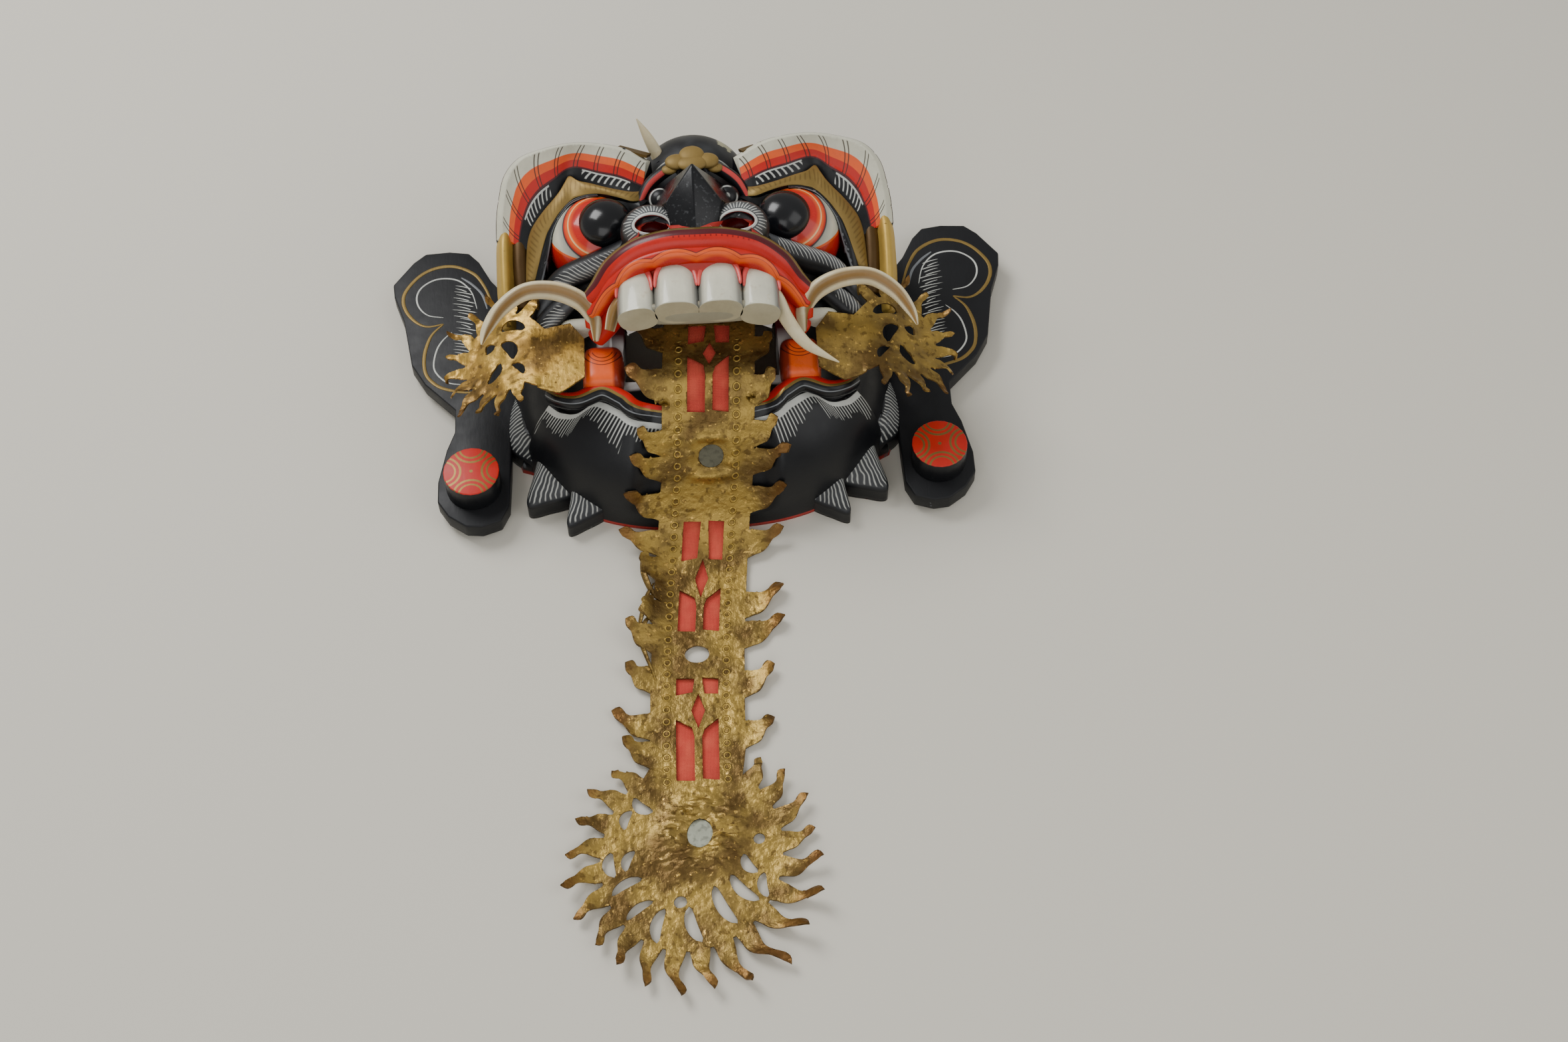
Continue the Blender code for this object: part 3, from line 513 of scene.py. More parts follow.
class Coat:
    """One material of the mask: layers of ink over each other, then the life of old paint."""

    def __init__(self, name: str, ground: "Ink | tuple", finish: Finish = SATIN) -> None:
        """Start a material with its ground colour.

        Args:
            name: The material's name.
            ground: The first ink.
            finish: How it takes the light.
        """
        self.material = bpy.data.materials.new(name)
        self.material.use_nodes = True
        self.tree = self.material.node_tree
        self.shader = self.tree.nodes["Principled BSDF"]
        self.finish = finish
        self.metal: Optional[Wash] = None
        node = self.tree.nodes.new("ShaderNodeRGB")
        node.outputs[0].default_value = (*tone_of(ground), 1)
        self.colour = node.outputs[0]
        self.spot = self.tree.nodes.new("ShaderNodeTexCoord").outputs["Object"]

    def attribute(self, name: str) -> Wash:
        """A paint coordinate of the surface.

        Args:
            name: The coordinate's name.

        Returns:
            The coordinate.
        """
        node = self.tree.nodes.new("ShaderNodeAttribute")
        node.attribute_name = name
        return Wash(self.tree, node.outputs["Fac"])

    def coordinates(self) -> tuple:
        """The place on the surface in carver's millimetres, as three numbers.

        Returns:
            X, Y and Z.
        """
        node = self.tree.nodes.new("ShaderNodeSeparateXYZ")
        self.tree.links.new(self.spot, node.inputs[0])
        x, y, z = (Wash(self.tree, socket) for socket in node.outputs)
        return x * 1000, (y - FACE_CENTRE_Y) * 1000, z * 1000

    def speckle(self, scale: float, detail: float = 2.0) -> Wash:
        """Cloudy noise from 0 to 1.

        Args:
            scale: How many clouds a metre holds.
            detail: How finely they are broken up.

        Returns:
            The noise.
        """
        node = self.tree.nodes.new("ShaderNodeTexNoise")
        node.inputs["Scale"].default_value = scale
        node.inputs["Detail"].default_value = detail
        self.tree.links.new(self.spot, node.inputs["Vector"])
        return Wash(self.tree, node.outputs["Fac"])

    def lay(self, mask: Wash, ink: "Ink | tuple", strength: float = 1.0) -> None:
        """Paint an ink over the coat.

        Args:
            mask: 1 where the ink lies, 0 where it doesn't.
            ink: The ink, or a linear colour.
            strength: How much it covers.
        """
        node = self.tree.nodes.new("ShaderNodeMix")
        node.data_type = "RGBA"
        if strength != 1.0:
            mask = mask * strength
        self.tree.links.new(mask.socket, node.inputs["Factor"])
        self.tree.links.new(self.colour, node.inputs["A"])
        node.inputs["B"].default_value = (*tone_of(ink), 1)
        self.colour = node.outputs["Result"]

    def gild(self, mask: Wash, ink: Ink = Ink.GOLD) -> None:
        """Paint gold where the mask is 1, and let it shine like metal."""
        self.lay(mask, ink)
        self.metal = mask * 0.6 if self.metal is None else self.metal.combine("MAXIMUM", mask * 0.6)

    def done(self, relief: Optional[Wash] = None, depth: float = 0.0004) -> bpy.types.Material:
        """Add the wear and join everything to the shader.

        Args:
            relief: A height from 0 to 1 that the paint or carving has besides.
            depth: How high that is, in metres.

        Returns:
            The material.
        """
        wear = self.tree.nodes.new("ShaderNodeGroup")
        wear.node_tree = old_paint_group()
        self.tree.links.new(self.colour, wear.inputs["Colour"])
        self.tree.links.new(self.spot, wear.inputs["Place"])
        wear.inputs["Chips"].default_value = self.finish.chips
        wear.inputs["Grain"].default_value = self.finish.grain
        wear.inputs["Chip Colour"].default_value = (*self.finish.chip_ink.value, 1)
        wear.inputs["Roughness"].default_value = self.finish.roughness
        self.tree.links.new(wear.outputs["Colour"], self.shader.inputs["Base Color"])
        self.tree.links.new(wear.outputs["Roughness"], self.shader.inputs["Roughness"])
        self.shader.inputs["Metallic"].default_value = self.finish.metallic
        self.shader.inputs["Coat Weight"].default_value = self.finish.coat
        self.shader.inputs["Specular IOR Level"].default_value = self.finish.specular
        if self.metal is not None:
            self.tree.links.new(self.metal.socket, self.shader.inputs["Metallic"])
        bump = self.tree.nodes.new("ShaderNodeBump")
        bump.inputs["Strength"].default_value = 0.5
        bump.inputs["Distance"].default_value = 0.0003
        self.tree.links.new(wear.outputs["Height"], bump.inputs["Height"])
        if relief is not None:
            raised = self.tree.nodes.new("ShaderNodeBump")
            raised.inputs["Strength"].default_value = 0.8
            raised.inputs["Distance"].default_value = depth
            self.tree.links.new(relief.socket, raised.inputs["Height"])
            self.tree.links.new(bump.outputs["Normal"], raised.inputs["Normal"])
            bump = raised
        self.tree.links.new(bump.outputs["Normal"], self.shader.inputs["Normal"])
        return self.material


def old_paint_group() -> bpy.types.NodeTree:
    """The life of old paint: uneven tone, brush marks, small chips and rubbed edges.

    Returns:
        The node group, made the first time it is asked for.
    """
    name = "old_paint"
    if name in bpy.data.node_groups:
        return bpy.data.node_groups[name]
    group = bpy.data.node_groups.new(name, "ShaderNodeTree")
    for label, kind in (("Colour", "NodeSocketColor"), ("Place", "NodeSocketVector"),
                        ("Chips", "NodeSocketFloat"), ("Grain", "NodeSocketFloat"),
                        ("Chip Colour", "NodeSocketColor"), ("Roughness", "NodeSocketFloat")):
        group.interface.new_socket(label, in_out="INPUT", socket_type=kind)
    for label, kind in (("Colour", "NodeSocketColor"), ("Roughness", "NodeSocketFloat"),
                        ("Height", "NodeSocketFloat")):
        group.interface.new_socket(label, in_out="OUTPUT", socket_type=kind)
    entry = group.nodes.new("NodeGroupInput")
    leave = group.nodes.new("NodeGroupOutput")

    def cloud(scale: float, detail: float, stretch: tuple = (1, 1, 1)) -> Wash:
        """Noise on the surface's place.

        Args:
            scale: How many clouds a metre holds.
            detail: How finely they are broken up.
            stretch: A factor along each axis.

        Returns:
            The noise.
        """
        mapping = group.nodes.new("ShaderNodeMapping")
        mapping.inputs["Scale"].default_value = stretch
        group.links.new(entry.outputs["Place"], mapping.inputs["Vector"])
        node = group.nodes.new("ShaderNodeTexNoise")
        node.inputs["Scale"].default_value = scale
        node.inputs["Detail"].default_value = detail
        group.links.new(mapping.outputs[0], node.inputs["Vector"])
        return Wash(group, node.outputs["Fac"])

    tone = cloud(90, 4)
    brush = cloud(500, 3, (1, 0.22, 1))
    patches = cloud(260, 5)
    vary = group.nodes.new("ShaderNodeHueSaturation")
    group.links.new(entry.outputs["Colour"], vary.inputs["Color"])
    group.links.new((tone * 0.36 + brush * 0.14 + 0.75).socket, vary.inputs["Value"])
    pointed = Wash(group, group.nodes.new("ShaderNodeNewGeometry").outputs["Pointiness"])
    chips = Wash(group, entry.outputs["Chips"])
    grain = Wash(group, entry.outputs["Grain"])
    rubbed = (pointed - 0.5) * 3 + patches * 1.0
    worn = rubbed.above(chips * -0.24 + 0.92, 0.06) * chips.above(0.01, 0.01)
    chip = group.nodes.new("ShaderNodeMix")
    chip.data_type = "RGBA"
    group.links.new((worn * 0.75).socket, chip.inputs["Factor"])
    group.links.new(vary.outputs[0], chip.inputs["A"])
    group.links.new(entry.outputs["Chip Colour"], chip.inputs["B"])
    group.links.new(chip.outputs["Result"], leave.inputs["Colour"])
    rough = Wash(group, entry.outputs["Roughness"]) + (tone - 0.5) * 0.25 + worn * 0.2
    group.links.new(rough.socket, leave.inputs["Roughness"])
    height = brush * grain + tone * grain * 1.5 - worn * 0.5
    group.links.new(height.socket, leave.inputs["Height"])
    return group


def clear_selection() -> None:
    """Leave nothing selected."""
    bpy.ops.object.select_all(action="DESELECT")


def take_up(thing: bpy.types.Object) -> None:
    """Select one object alone and make it the active one.

    Args:
        thing: The object.
    """
    clear_selection()
    thing.select_set(True)
    bpy.context.view_layer.objects.active = thing


def dress(thing: bpy.types.Object, material: bpy.types.Material) -> bpy.types.Object:
    """Give a piece its only material and put it on the body.

    Args:
        thing: The piece.
        material: Its material.

    Returns:
        The piece.
    """
    thing.data.materials.clear()
    thing.data.materials.append(material)
    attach(thing, "root")
    return thing


def join(name: str, things: list) -> bpy.types.Object:
    """Join pieces that are one wood into one object.

    Args:
        name: The joined object's name.
        things: The pieces, each with its material.

    Returns:
        The joined object.
    """
    clear_selection()
    for thing in things:
        thing.select_set(True)
    bpy.context.view_layer.objects.active = things[0]
    bpy.ops.object.join()
    whole = bpy.context.object
    whole.name = name
    whole.data.name = name
    clear_selection()
    return whole


def under_tongue(places: np.ndarray, gap: float = 1.9) -> np.ndarray:
    """Press the chin in where the tongue hangs over it.

    Args:
        places: Points of the chin in carver's millimetres, in any number of rings.
        gap: How far under the leather they come to lie.

    Returns:
        The moved points.
    """
    drape = Drape()
    walk = np.arange(20, 190, 1.0)
    line = drape.place(np.zeros_like(walk), walk, np.zeros_like(walk))
    lifted = drape.place(np.zeros_like(walk), walk, np.ones_like(walk))
    rows = places.reshape(-1, 3)
    away = rows[:, None, 1:] - line[None, :, 1:]
    nearest = (away ** 2).sum(axis=-1).argmin(axis=1)
    lift = (lifted - line)[nearest]
    height = (away[np.arange(len(rows)), nearest] * lift[:, 1:]).sum(axis=-1)
    aside = np.abs(rows[:, 0] - line[nearest, 0])
    weight = np.clip((48 - aside) / 14, 0, 1)
    weight = weight * weight * (3 - 2 * weight)
    push = np.maximum(height + gap, 0) * weight
    return (rows - lift * push[:, None]).reshape(places.shape)


def wooden(name: str, parts: list) -> bpy.types.Object:
    """Build forms, paint each and join them into one piece of the mask.

    Args:
        name: The piece's name.
        parts: Pairs of a form, or an object, and its material.

    Returns:
        The joined piece, riding on the body.
    """
    built = []
    for form, material in parts:
        thing = form.build() if isinstance(form, Form) else form
        thing.data.materials.clear()
        thing.data.materials.append(material)
        built.append(thing)
    whole = join(name, built)
    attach(whole, "root")
    LOG.info("%s: %d faces", name, len(whole.data.polygons))
    return whole


def merged_copy(node: str, name: str) -> bpy.types.Object:
    """A copy of a CAD node's mesh with its loose triangles joined.

    Args:
        node: The CAD node.
        name: The copy's name.

    Returns:
        The copy.
    """
    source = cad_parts[node]
    mesh = source.data.copy()
    mesh.name = name
    thing = bpy.data.objects.new(name, mesh)
    bpy.context.scene.collection.objects.link(thing)
    bm = bmesh.new()
    bm.from_mesh(mesh)
    bmesh.ops.remove_doubles(bm, verts=bm.verts, dist=0.000005)
    bm.to_mesh(mesh)
    bm.free()
    return thing


@dataclass
class Carcass:
    """The block behind the carving: its back, its hollow, the mouth and what shows between the forms."""

    shrink: float = 0.0024
    brow_shrink: float = 0.0042
    brow_foot: float = 58.0
    rim_band: float = 3.0

    def coat(self) -> bpy.types.Material:
        """Black outside, red along the rim, bare wood in the hollow, dark red in the mouth, and pale patches
        at the mouth's lower sides that are a painted pool of light.

        Returns:
            The material.
        """
        coat = Coat("face_block", Ink.BLACK)
        x, y, z = coat.coordinates()
        hollow = coat.attribute("hollow")
        coat.lay(z.below(self.rim_band, 1.5), Ink.RED)
        coat.lay(hollow.above(0.5, 0.1), Ink.WOOD)
        mouth = x.size().below(64, 2) * y.between(-64, -6, 2) * z.between(16, 128, 2)
        coat.lay(mouth, Ink.MAROON)
        coat.lay(x.size().below(62, 2) * y.between(-34, 6, 2) * z.above(112, 2), (0.42, 0.03, 0.022))
        # Painted light: a pale patch on the mouth's lower side walls, where lit paper would show through the
        # open mouth.
        coat.lay(mouth * x.size().above(30, 8) * y.below(-30, 10), (0.55, 0.54, 0.52), 0.9)
        return coat.done()

    def build(self) -> bpy.types.Object:
        """Draw the outer skin in a little, so that the carved forms lie over it.

        Returns:
            The block.
        """
        thing = merged_copy("mask", "mask_block")
        mesh = thing.data
        spots = vertex_rows(mesh)
        normals = vertex_rows(mesh, "normal")
        face = to_carver(spots)
        inside = np.zeros(len(face), bool)
        for centre, radii, power in HOLLOWS:
            reach = (np.abs((face - np.array(centre)) / np.array(radii)) ** power).sum(axis=1) ** (1 / power)
            inside |= reach < 1.02
        outer = ~inside & (face[:, 2] > 0.2)
        depth = np.where(face[:, 1] > self.brow_foot, self.brow_shrink, self.shrink)
        spots[outer] -= normals[outer] * depth[outer, None]
        spots[:, 2] = np.maximum(spots[:, 2], 0)
        mesh.vertices.foreach_set("co", spots.ravel())
        store(mesh, "hollow", inside & (face[:, 2] > 0.2))
        mesh.update()
        take_up(thing)
        bpy.ops.object.shade_smooth_by_angle(angle=math.radians(38))
        dress(thing, self.coat())
        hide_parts("mask")
        LOG.info("mask_block: %d faces", len(mesh.polygons))
        return thing


@dataclass
class Brows:
    """The flared brows: leaning shields with bands of cream, orange, red and black."""

    rim: Points = ((29, 80, 119), (44, 85, 126), (58, 87, 129), (74, 88, 130), (90, 86, 129), (106, 82, 126),
                   (115.5, 74, 119.5), (119.5, 63, 110.5), (121.5, 53, 102.5), (122, 44, 95))
    foot: Points = ((33, 56, 112), (47, 62, 113), (60, 67, 112), (77, 74, 111), (86, 66, 106),
                    (93, 59.5, 102), (98, 54, 98.5), (102, 48.5, 95), (104.5, 43, 92.5), (106.5, 37, 89.5))

    def coat(self) -> bpy.types.Material:
        """The painted bands, with hairs in pairs and two white combs.

        Returns:
            The material.
        """
        coat = Coat("brow_bands", Ink.BLACK, Finish(chips=0.0))
        a, b = coat.attribute("a"), coat.attribute("b")
        wobble = (coat.speckle(60) - 0.5) * 0.03
        edge = b + wobble
        coat.lay(edge.between(0.345, 1.9, 0.015), Ink.MAROON)
        coat.lay(edge.between(0.385, 1.9, 0.015), Ink.RED)
        coat.lay(edge.between(0.57, 1.9, 0.012), Ink.ORANGE)
        coat.lay(edge.between(0.75, 1.9, 0.012), Ink.CREAM)
        lean = a + (b - 0.37) * (b - 0.37) * 12
        pairs = ((lean / 13).combine("FRACT") * 13 - 6.5).size()
        hairs = pairs.near(1.15, 0.36, 0.25) * b.between(0.35, 0.97, 0.02)
        coat.lay(hairs, (0.03, 0.018, 0.012), 0.9)
        combs = a.between(9, 41, 0.5).combine("MAXIMUM", a.between(66, 96, 0.5))
        ridge = b.near(0.31, 0.018, 0.010) * combs
        teeth = (a + b * b * 40).strokes(4.1, 0.30, 0.12) * b.between(0.11, 0.31, 0.02) * combs
        coat.lay(ridge.combine("MAXIMUM", teeth), Ink.WHITE, 0.9)
        return coat.done()

    def form(self, label: str, side: int) -> Form:
        """One brow.

        Args:
            label: The side's name.
            side: -1 on the left, 1 on the right.

        Returns:
            The form.
        """
        def skirt(low: np.ndarray, high: np.ndarray) -> list:
            """The rim's thickness, the back and the foot.

            Args:
                low: The places along the brow's foot.
                high: The places along its rim.

            Returns:
                The rows behind the band.
            """
            out = high - np.array((EYE[0] * side, EYE[1], 0))
            out[:, 2] = 0
            out = unit(out)
            back = high + out * 4.5 - np.array((0, 0, 3.5))
            heel = high + out * 8.5
            heel[:, 0] = np.clip(heel[:, 0], -123, 123)
            heel[:, 2] = 38
            deep = low - out * 4
            deep[:, 2] = 50
            return [back, heel, deep]

        return strip("brow_" + label, to_side(self.foot, side), to_side(self.rim, side), -1.2, skirt,
                     150, 34, 5)

    def build(self) -> bpy.types.Object:
        """Both brows."""
        coat = self.coat()
        return wooden("mask_brows", [(self.form(label, side), coat) for label, side in SIDES])


@dataclass
class Eyes:
    """Bulging eyes with raised pupils, gold and black lids, and the rolls of flesh below."""

    gold_inner: Points = ((32, 52, 115), (38.8, 49.8, 117.5), (47.8, 53.2, 117.8), (58.2, 57.2, 117),
                          (66.2, 58.2, 116), (74.1, 57.5, 114.5), (77, 56.2, 113.5), (79.5, 54.4, 112.5),
                          (85, 49.4, 109.8), (89.2, 44.5, 106.7), (91.5, 41.5, 104.5), (93.6, 38.6, 102),
                          (96.3, 32.1, 97.8), (98.9, 24.2, 93.2), (102.2, 15.3, 86))
    gold_outer: Points = ((31, 62, 113), (38.6, 57.5, 117.5), (51.6, 60.4, 118.3), (64.6, 65.5, 118),
                          (72.4, 68.6, 117.5), (78, 74.5, 115.5), (81.2, 69.2, 115), (84, 63.8, 114.5),
                          (88.7, 58.8, 111.8), (94.3, 54.8, 107.5), (100, 51, 101.5), (104.1, 46.6, 97),
                          (106.6, 40.1, 92.5), (107.8, 30.3, 88), (108.3, 15.8, 84))
    lid_outer: Points = ((60, 57.6, 116.8), (68, 58.3, 115.8), (77, 56.2, 113.5), (83.5, 51, 110.6),
                         (89.2, 44.5, 106.7), (93, 39.6, 102.6), (95.8, 33, 98.2), (98.9, 24.2, 93.2),
                         (102.2, 15.3, 86))
    lid_inner: Points = ((60, 56.3, 116), (68, 56.4, 115), (76.9, 53.6, 113), (82.3, 49, 110.3),
                         (87, 43.4, 106.6), (90, 38, 102.2), (91.6, 32, 97.5), (93.6, 25, 92.6),
                         (97, 14, 86.5))
    cheek: Points = ((38, 17, 118), (49, 12, 111), (66, 10, 103), (82, 7, 97), (91, 2, 90), (99, -8, 82),
                     (104, -20, 72))
    fold: Points = ((74, -8, 96), (86, -12, 90), (97, -20, 82), (104, -32, 72))

    def eye_coat(self) -> bpy.types.Material:
        """Rings round the pupil, a soft grey painted shade round the iris, a cream white and a red corner.

        Returns:
            The material.
        """
        coat = Coat("eye_white", Ink.CREAM, Finish(roughness=0.24, coat=0.3, chips=0.1, grain=0.1))
        ring, white = coat.attribute("b"), coat.attribute("a")
        # Painted shade: a soft grey halo on the white round the iris.
        coat.lay(ring.below(57, 9), Ink.GREY, 0.55)
        coat.lay(ring.below(51.6, 1.4), (0.05, 0.035, 0.035))
        coat.lay(ring.below(49.6, 0.8), Ink.RED)
        coat.lay(ring.below(47.4, 3.5), Ink.ORANGE)
        coat.lay(ring.below(43.6, 0.8), Ink.YELLOW)
        coat.lay(ring.below(41.9, 1.6), Ink.ORANGE)
        coat.lay(ring.below(38.5, 5.0), Ink.RED)
        coat.lay(white.above(81, 0.8), Ink.ORANGE)
        coat.lay(white.above(84, 1.2), Ink.RED)
        return coat.done()

    def lid_coats(self) -> tuple:
        """The gold lid with faint lashes, and the black lid with its thin pale line, a painted highlight
        along its inner edge.

        Returns:
            Both materials.
        """
        gold = Coat("gold_lid", Ink.GOLD, GILT_PAINT)
        a, b = gold.attribute("a"), gold.attribute("b")
        lashes = (a + b * 6).strokes(3.4, 0.3, 0.2) * b.between(0.3, 0.8, 0.1)
        gold.lay(lashes, Ink.DARK_GOLD, 0.45)
        gold.lay(b.above(1.02, 0.05), Ink.BLACK)
        black = Coat("black_lid", Ink.BLACK, Finish(roughness=0.3, chips=0.15, grain=0.2))
        b = black.attribute("b")
        # Painted highlight: a thin grey line along the black lid's inner edge.
        black.lay(b.between(0.06, 0.24, 0.08), Ink.GREY, 0.9)
        return gold.done(), black.done()

    def cheek_coat(self) -> bpy.types.Material:
        """Grey-black flesh with slanted white strokes.

        Returns:
            The material.
        """
        coat = Coat("cheek_roll", Ink.BLACK)
        a, b = coat.attribute("a"), coat.attribute("b")
        coat.lay(b.between(100, 150, 40), Ink.GREY, 0.5)
        taper = (b - 120).size() / 60 * -0.30 + 0.34
        shaky = a + b * 0.12 + coat.speckle(70) * 5
        strokes = shaky.strokes(2.9, taper, 0.16) * b.between(74, 148, 6) * a.between(12, 62, 1)
        coat.lay(strokes, Ink.WHITE, 0.85)
        return coat.done()

    def ball_form(self, label: str, side: int) -> Form:
        """The eyeball, with its rings about the iris.

        Args:
            label: The side's name.
            side: -1 on the left, 1 on the right.

        Returns:
            The form, with "b" in degrees from the pupil and "a" in degrees from the white's middle.
        """
        axis = (-4.5 * side, -6, 30)
        form = ball("eye_" + label, (EYE[0] * side, EYE[1], EYE[2]), (EYE_RADIUS,) * 3, axis=axis, levels=70,
                    count=96)
        way = unit(form.rings - np.array((EYE[0] * side, EYE[1], EYE[2])))
        centre = unit(np.array((-0.1 * side, 0.35, 0.93)))
        white = np.degrees(np.arccos(np.clip(way @ centre, -1, 1)))
        form.along = closed(white)
        return form

    def build(self) -> bpy.types.Object:
        """Both eyes with their lids.

        Returns:
            The joined piece.
        """
        eye, cheek = self.eye_coat(), self.cheek_coat()
        gold, black = self.lid_coats()
        pupil = Coat("pupil", Ink.BLACK, GLOSS).done()
        parts = []
        for label, side in SIDES:
            parts.append((self.ball_form(label, side), eye))
            parts.append((ball("pupil_" + label, (PUPIL[0] * side, *PUPIL[1:]), (17.2, 17.2, 14)), pupil))
            parts.append((strip("gold_lid_" + label, to_side(self.gold_inner, side),
                                to_side(self.gold_outer, side), 1.0, front=16), gold))
            parts.append((strip("black_lid_" + label, to_side(self.lid_inner, side),
                                to_side(self.lid_outer, side), 0.8, front=14), black))
            parts.append((roll("cheek_" + label, to_side(self.cheek, side), (5, 8, 8.5, 8, 7, 6, 4),
                               (7, 8, 8, 7, 7, 6, 4), (0, -0.3, 1), 90, 40), cheek))
            parts.append((roll("fold_" + label, to_side(self.fold, side), (4, 7, 7, 4), (5, 6, 6, 4),
                               (0, -0.3, 1), 60, 32), cheek))
        return wooden("mask_eyes", parts)


@dataclass
class Nose:
    """The sharp nose, its flared nostrils, and what stands between the brows."""

    wing: tuple = (27.5, 11.5, 133)
    wing_radii: tuple = (18.5, 15.5, 18.5)
    nostril_way: tuple = (-0.10, -0.42, 0.90)
    nostril_half: tuple = (10.2, 6.2)
    nostril_depth: float = 15.0
    frown: Points = ((9, 74, 121), (18, 70, 120), (28, 62, 117), (34, 52, 112))

    def wing_form(self, label: str, side: int) -> Form:
        """A nostril's wing: rings up the hole's wall, over its lip and round the ball.

        Args:
            label: The side's name.
            side: -1 on the left, 1 on the right.

        Returns:
            The form, with "a" in degrees round the hole and "b" in millimetres from its lip.
        """
        way = Vector((self.nostril_way[0] * side, *self.nostril_way[1:])).normalized()
        wide = Vector((1, 0, 0))
        wide = (wide - way * wide.dot(way)).normalized()
        tall = way.cross(wide)
        basis = np.array((wide, tall, way))
        count = 72
        angle = np.linspace(0, math.tau, count, endpoint=False)
        radius = sum(self.wing_radii) / 3
        wide_half, tall_half = self.nostril_half
        half = 1 / np.sqrt((np.cos(angle) / wide_half) ** 2 + (np.sin(angle) / tall_half) ** 2)
        start = np.arcsin(half / radius)
        centre = np.array((self.wing[0] * side, *self.wing[1:]), float)
        rings, across = [], []
        for share in np.linspace(0, 1, 34):
            tilt = start + (math.pi * 0.97 - start) * share ** 1.15
            ways = np.stack([np.sin(tilt) * np.cos(angle), np.sin(tilt) * np.sin(angle), np.cos(tilt)], -1)
            ways = ways @ basis
            rings.append(centre + ways * np.array(self.wing_radii))
            across.append(np.degrees(tilt - start).mean() * math.radians(1) * radius)
        walls = []
        for share in np.linspace(1, 0.15, 9):
            middle = rings[0].mean(axis=0)
            sunk = middle + (rings[0] - middle) * (1 - 0.35 * share)
            walls.append(sunk - np.array(way) * self.nostril_depth * share)
        rings = np.array(walls + rings)
        across = np.array([-2.0] * len(walls) + across)
        across[len(walls) - 1] = -1.0
        degrees = np.repeat(np.linspace(0, 360, count + 1)[None], len(rings), axis=0)
        return Form("wing_" + label, rings, degrees, np.repeat(across[:, None], count + 1, axis=1))

    def wing_coat(self) -> bpy.types.Material:
        """Black with a white lip and strokes that spread from the nostril, dark red within.

        Returns:
            The material.
        """
        coat = Coat("nostril", Ink.BLACK)
        a, b = coat.attribute("a"), coat.attribute("b")
        coat.lay(b.between(0.2, 9, 8), Ink.GREY, 0.5)
        coat.lay(b.below(1.9, 0.3), Ink.WHITE)
        coat.lay(b.below(-0.4, 0.3), (0.20, 0.008, 0.010))
        reach = (a * 0.31).combine("SINE") * 1.6 + 9.6
        taper = b / reach * -0.36 + 0.54
        coat.lay(a.strokes(360 / 42, taper, 0.16) * b.between(2.9, reach, 0.8), Ink.WHITE, 0.9)
        return coat.done()

    def bridge(self) -> bpy.types.Object:
        """The ridge, stretched over its few corners and softened.

        Returns:
            The object.
        """
        corners = ((0, 36, 167), (0, 64, 128), (0, -3, 151), (17, 18, 153), (-17, 18, 153), (26, 34, 124),
                   (-26, 34, 124), (22, 62, 112), (-22, 62, 112), (13, -4, 140), (-13, -4, 140), (0, 20, 116))
        bpy.ops.mesh.primitive_cube_add(size=0.02)
        thing = bpy.context.object
        thing.name = "nose_ridge"
        bm = bmesh.new()
        verts = [bm.verts.new(p) for p in to_world(np.array(corners, float))]
        hull = bmesh.ops.convex_hull(bm, input=verts)
        loose = [v for v in hull["geom_interior"] if isinstance(v, bmesh.types.BMVert)]
        bmesh.ops.delete(bm, geom=loose, context="VERTS")
        bmesh.ops.recalc_face_normals(bm, faces=bm.faces[:])
        bm.to_mesh(thing.data)
        bm.free()
        bevel = thing.modifiers.new("soft", "BEVEL")
        bevel.width = 0.0012
        bevel.segments = 3
        bevel.limit_method = "ANGLE"
        bpy.ops.object.modifier_apply(modifier="soft")
        bpy.ops.object.shade_smooth_by_angle(angle=math.radians(24))
        for name in ("a", "b"):
            thing.data.attributes.new(name, "FLOAT", "CORNER")
        return thing

    def ridge_coat(self) -> bpy.types.Material:
        """Black, rubbed grey along its brush marks.

        Returns:
            The material.
        """
        coat = Coat("nose_ridge", Ink.BLACK, Finish(roughness=0.30, chips=0.3))
        coat.lay(coat.speckle(420, 3).above(0.64, 0.12), Ink.GREY, 0.22)
        return coat.done()

    def knob_coat(self) -> bpy.types.Material:
        """A black knob with a white ring and a fleck.

        Returns:
            The material.
        """
        coat = Coat("brow_knob", Ink.BLACK)
        b = coat.attribute("b")
        fade = coat.attribute("a").between(20, 320, 20)
        coat.lay(b.near(54, 6, 3) * fade, Ink.WHITE, 0.9)
        coat.lay(b.below(13, 6), Ink.WHITE, 0.7)
        return coat.done()

    def dome_coat(self) -> bpy.types.Material:
        """The grey-black forehead, worn to the pale ground where the crown sat.

        Returns:
            The material.
        """
        coat = Coat("forehead", Ink.BLACK, Finish(roughness=0.5, chips=0.5))
        x, y, z = coat.coordinates()
        coat.lay(coat.speckle(45).above(0.52, 0.3), Ink.GREY, 0.22)
        ragged = (coat.speckle(240, 4) - 0.5) * 16
        for cx, cy, cz, reach in ((-1, 116, 102, 5), (22, 105, 104, 6)):
            away = ((x - cx) * (x - cx) + (y - cy) * (y - cy) + (z - cz) * (z - cz)).combine("SQRT")
            coat.lay((away + ragged).below(reach, 1), (0.33, 0.31, 0.20))
        arc = ((x.size() - 13) * (x.size() - 13) + (y - 66) * (y - 66)).combine("SQRT")
        coat.lay(arc.near(20, 0.45, 0.4) * y.above(77, 2), Ink.WHITE, 0.7)
        return coat.done()

    def frown_coat(self) -> bpy.types.Material:
        """A black fold with a red stripe along its top.

        Returns:
            The material.
        """
        coat = Coat("frown", Ink.BLACK)
        b = coat.attribute("b")
        coat.lay(b.between(78, 124, 8), (0.50, 0.05, 0.045))
        return coat.done()

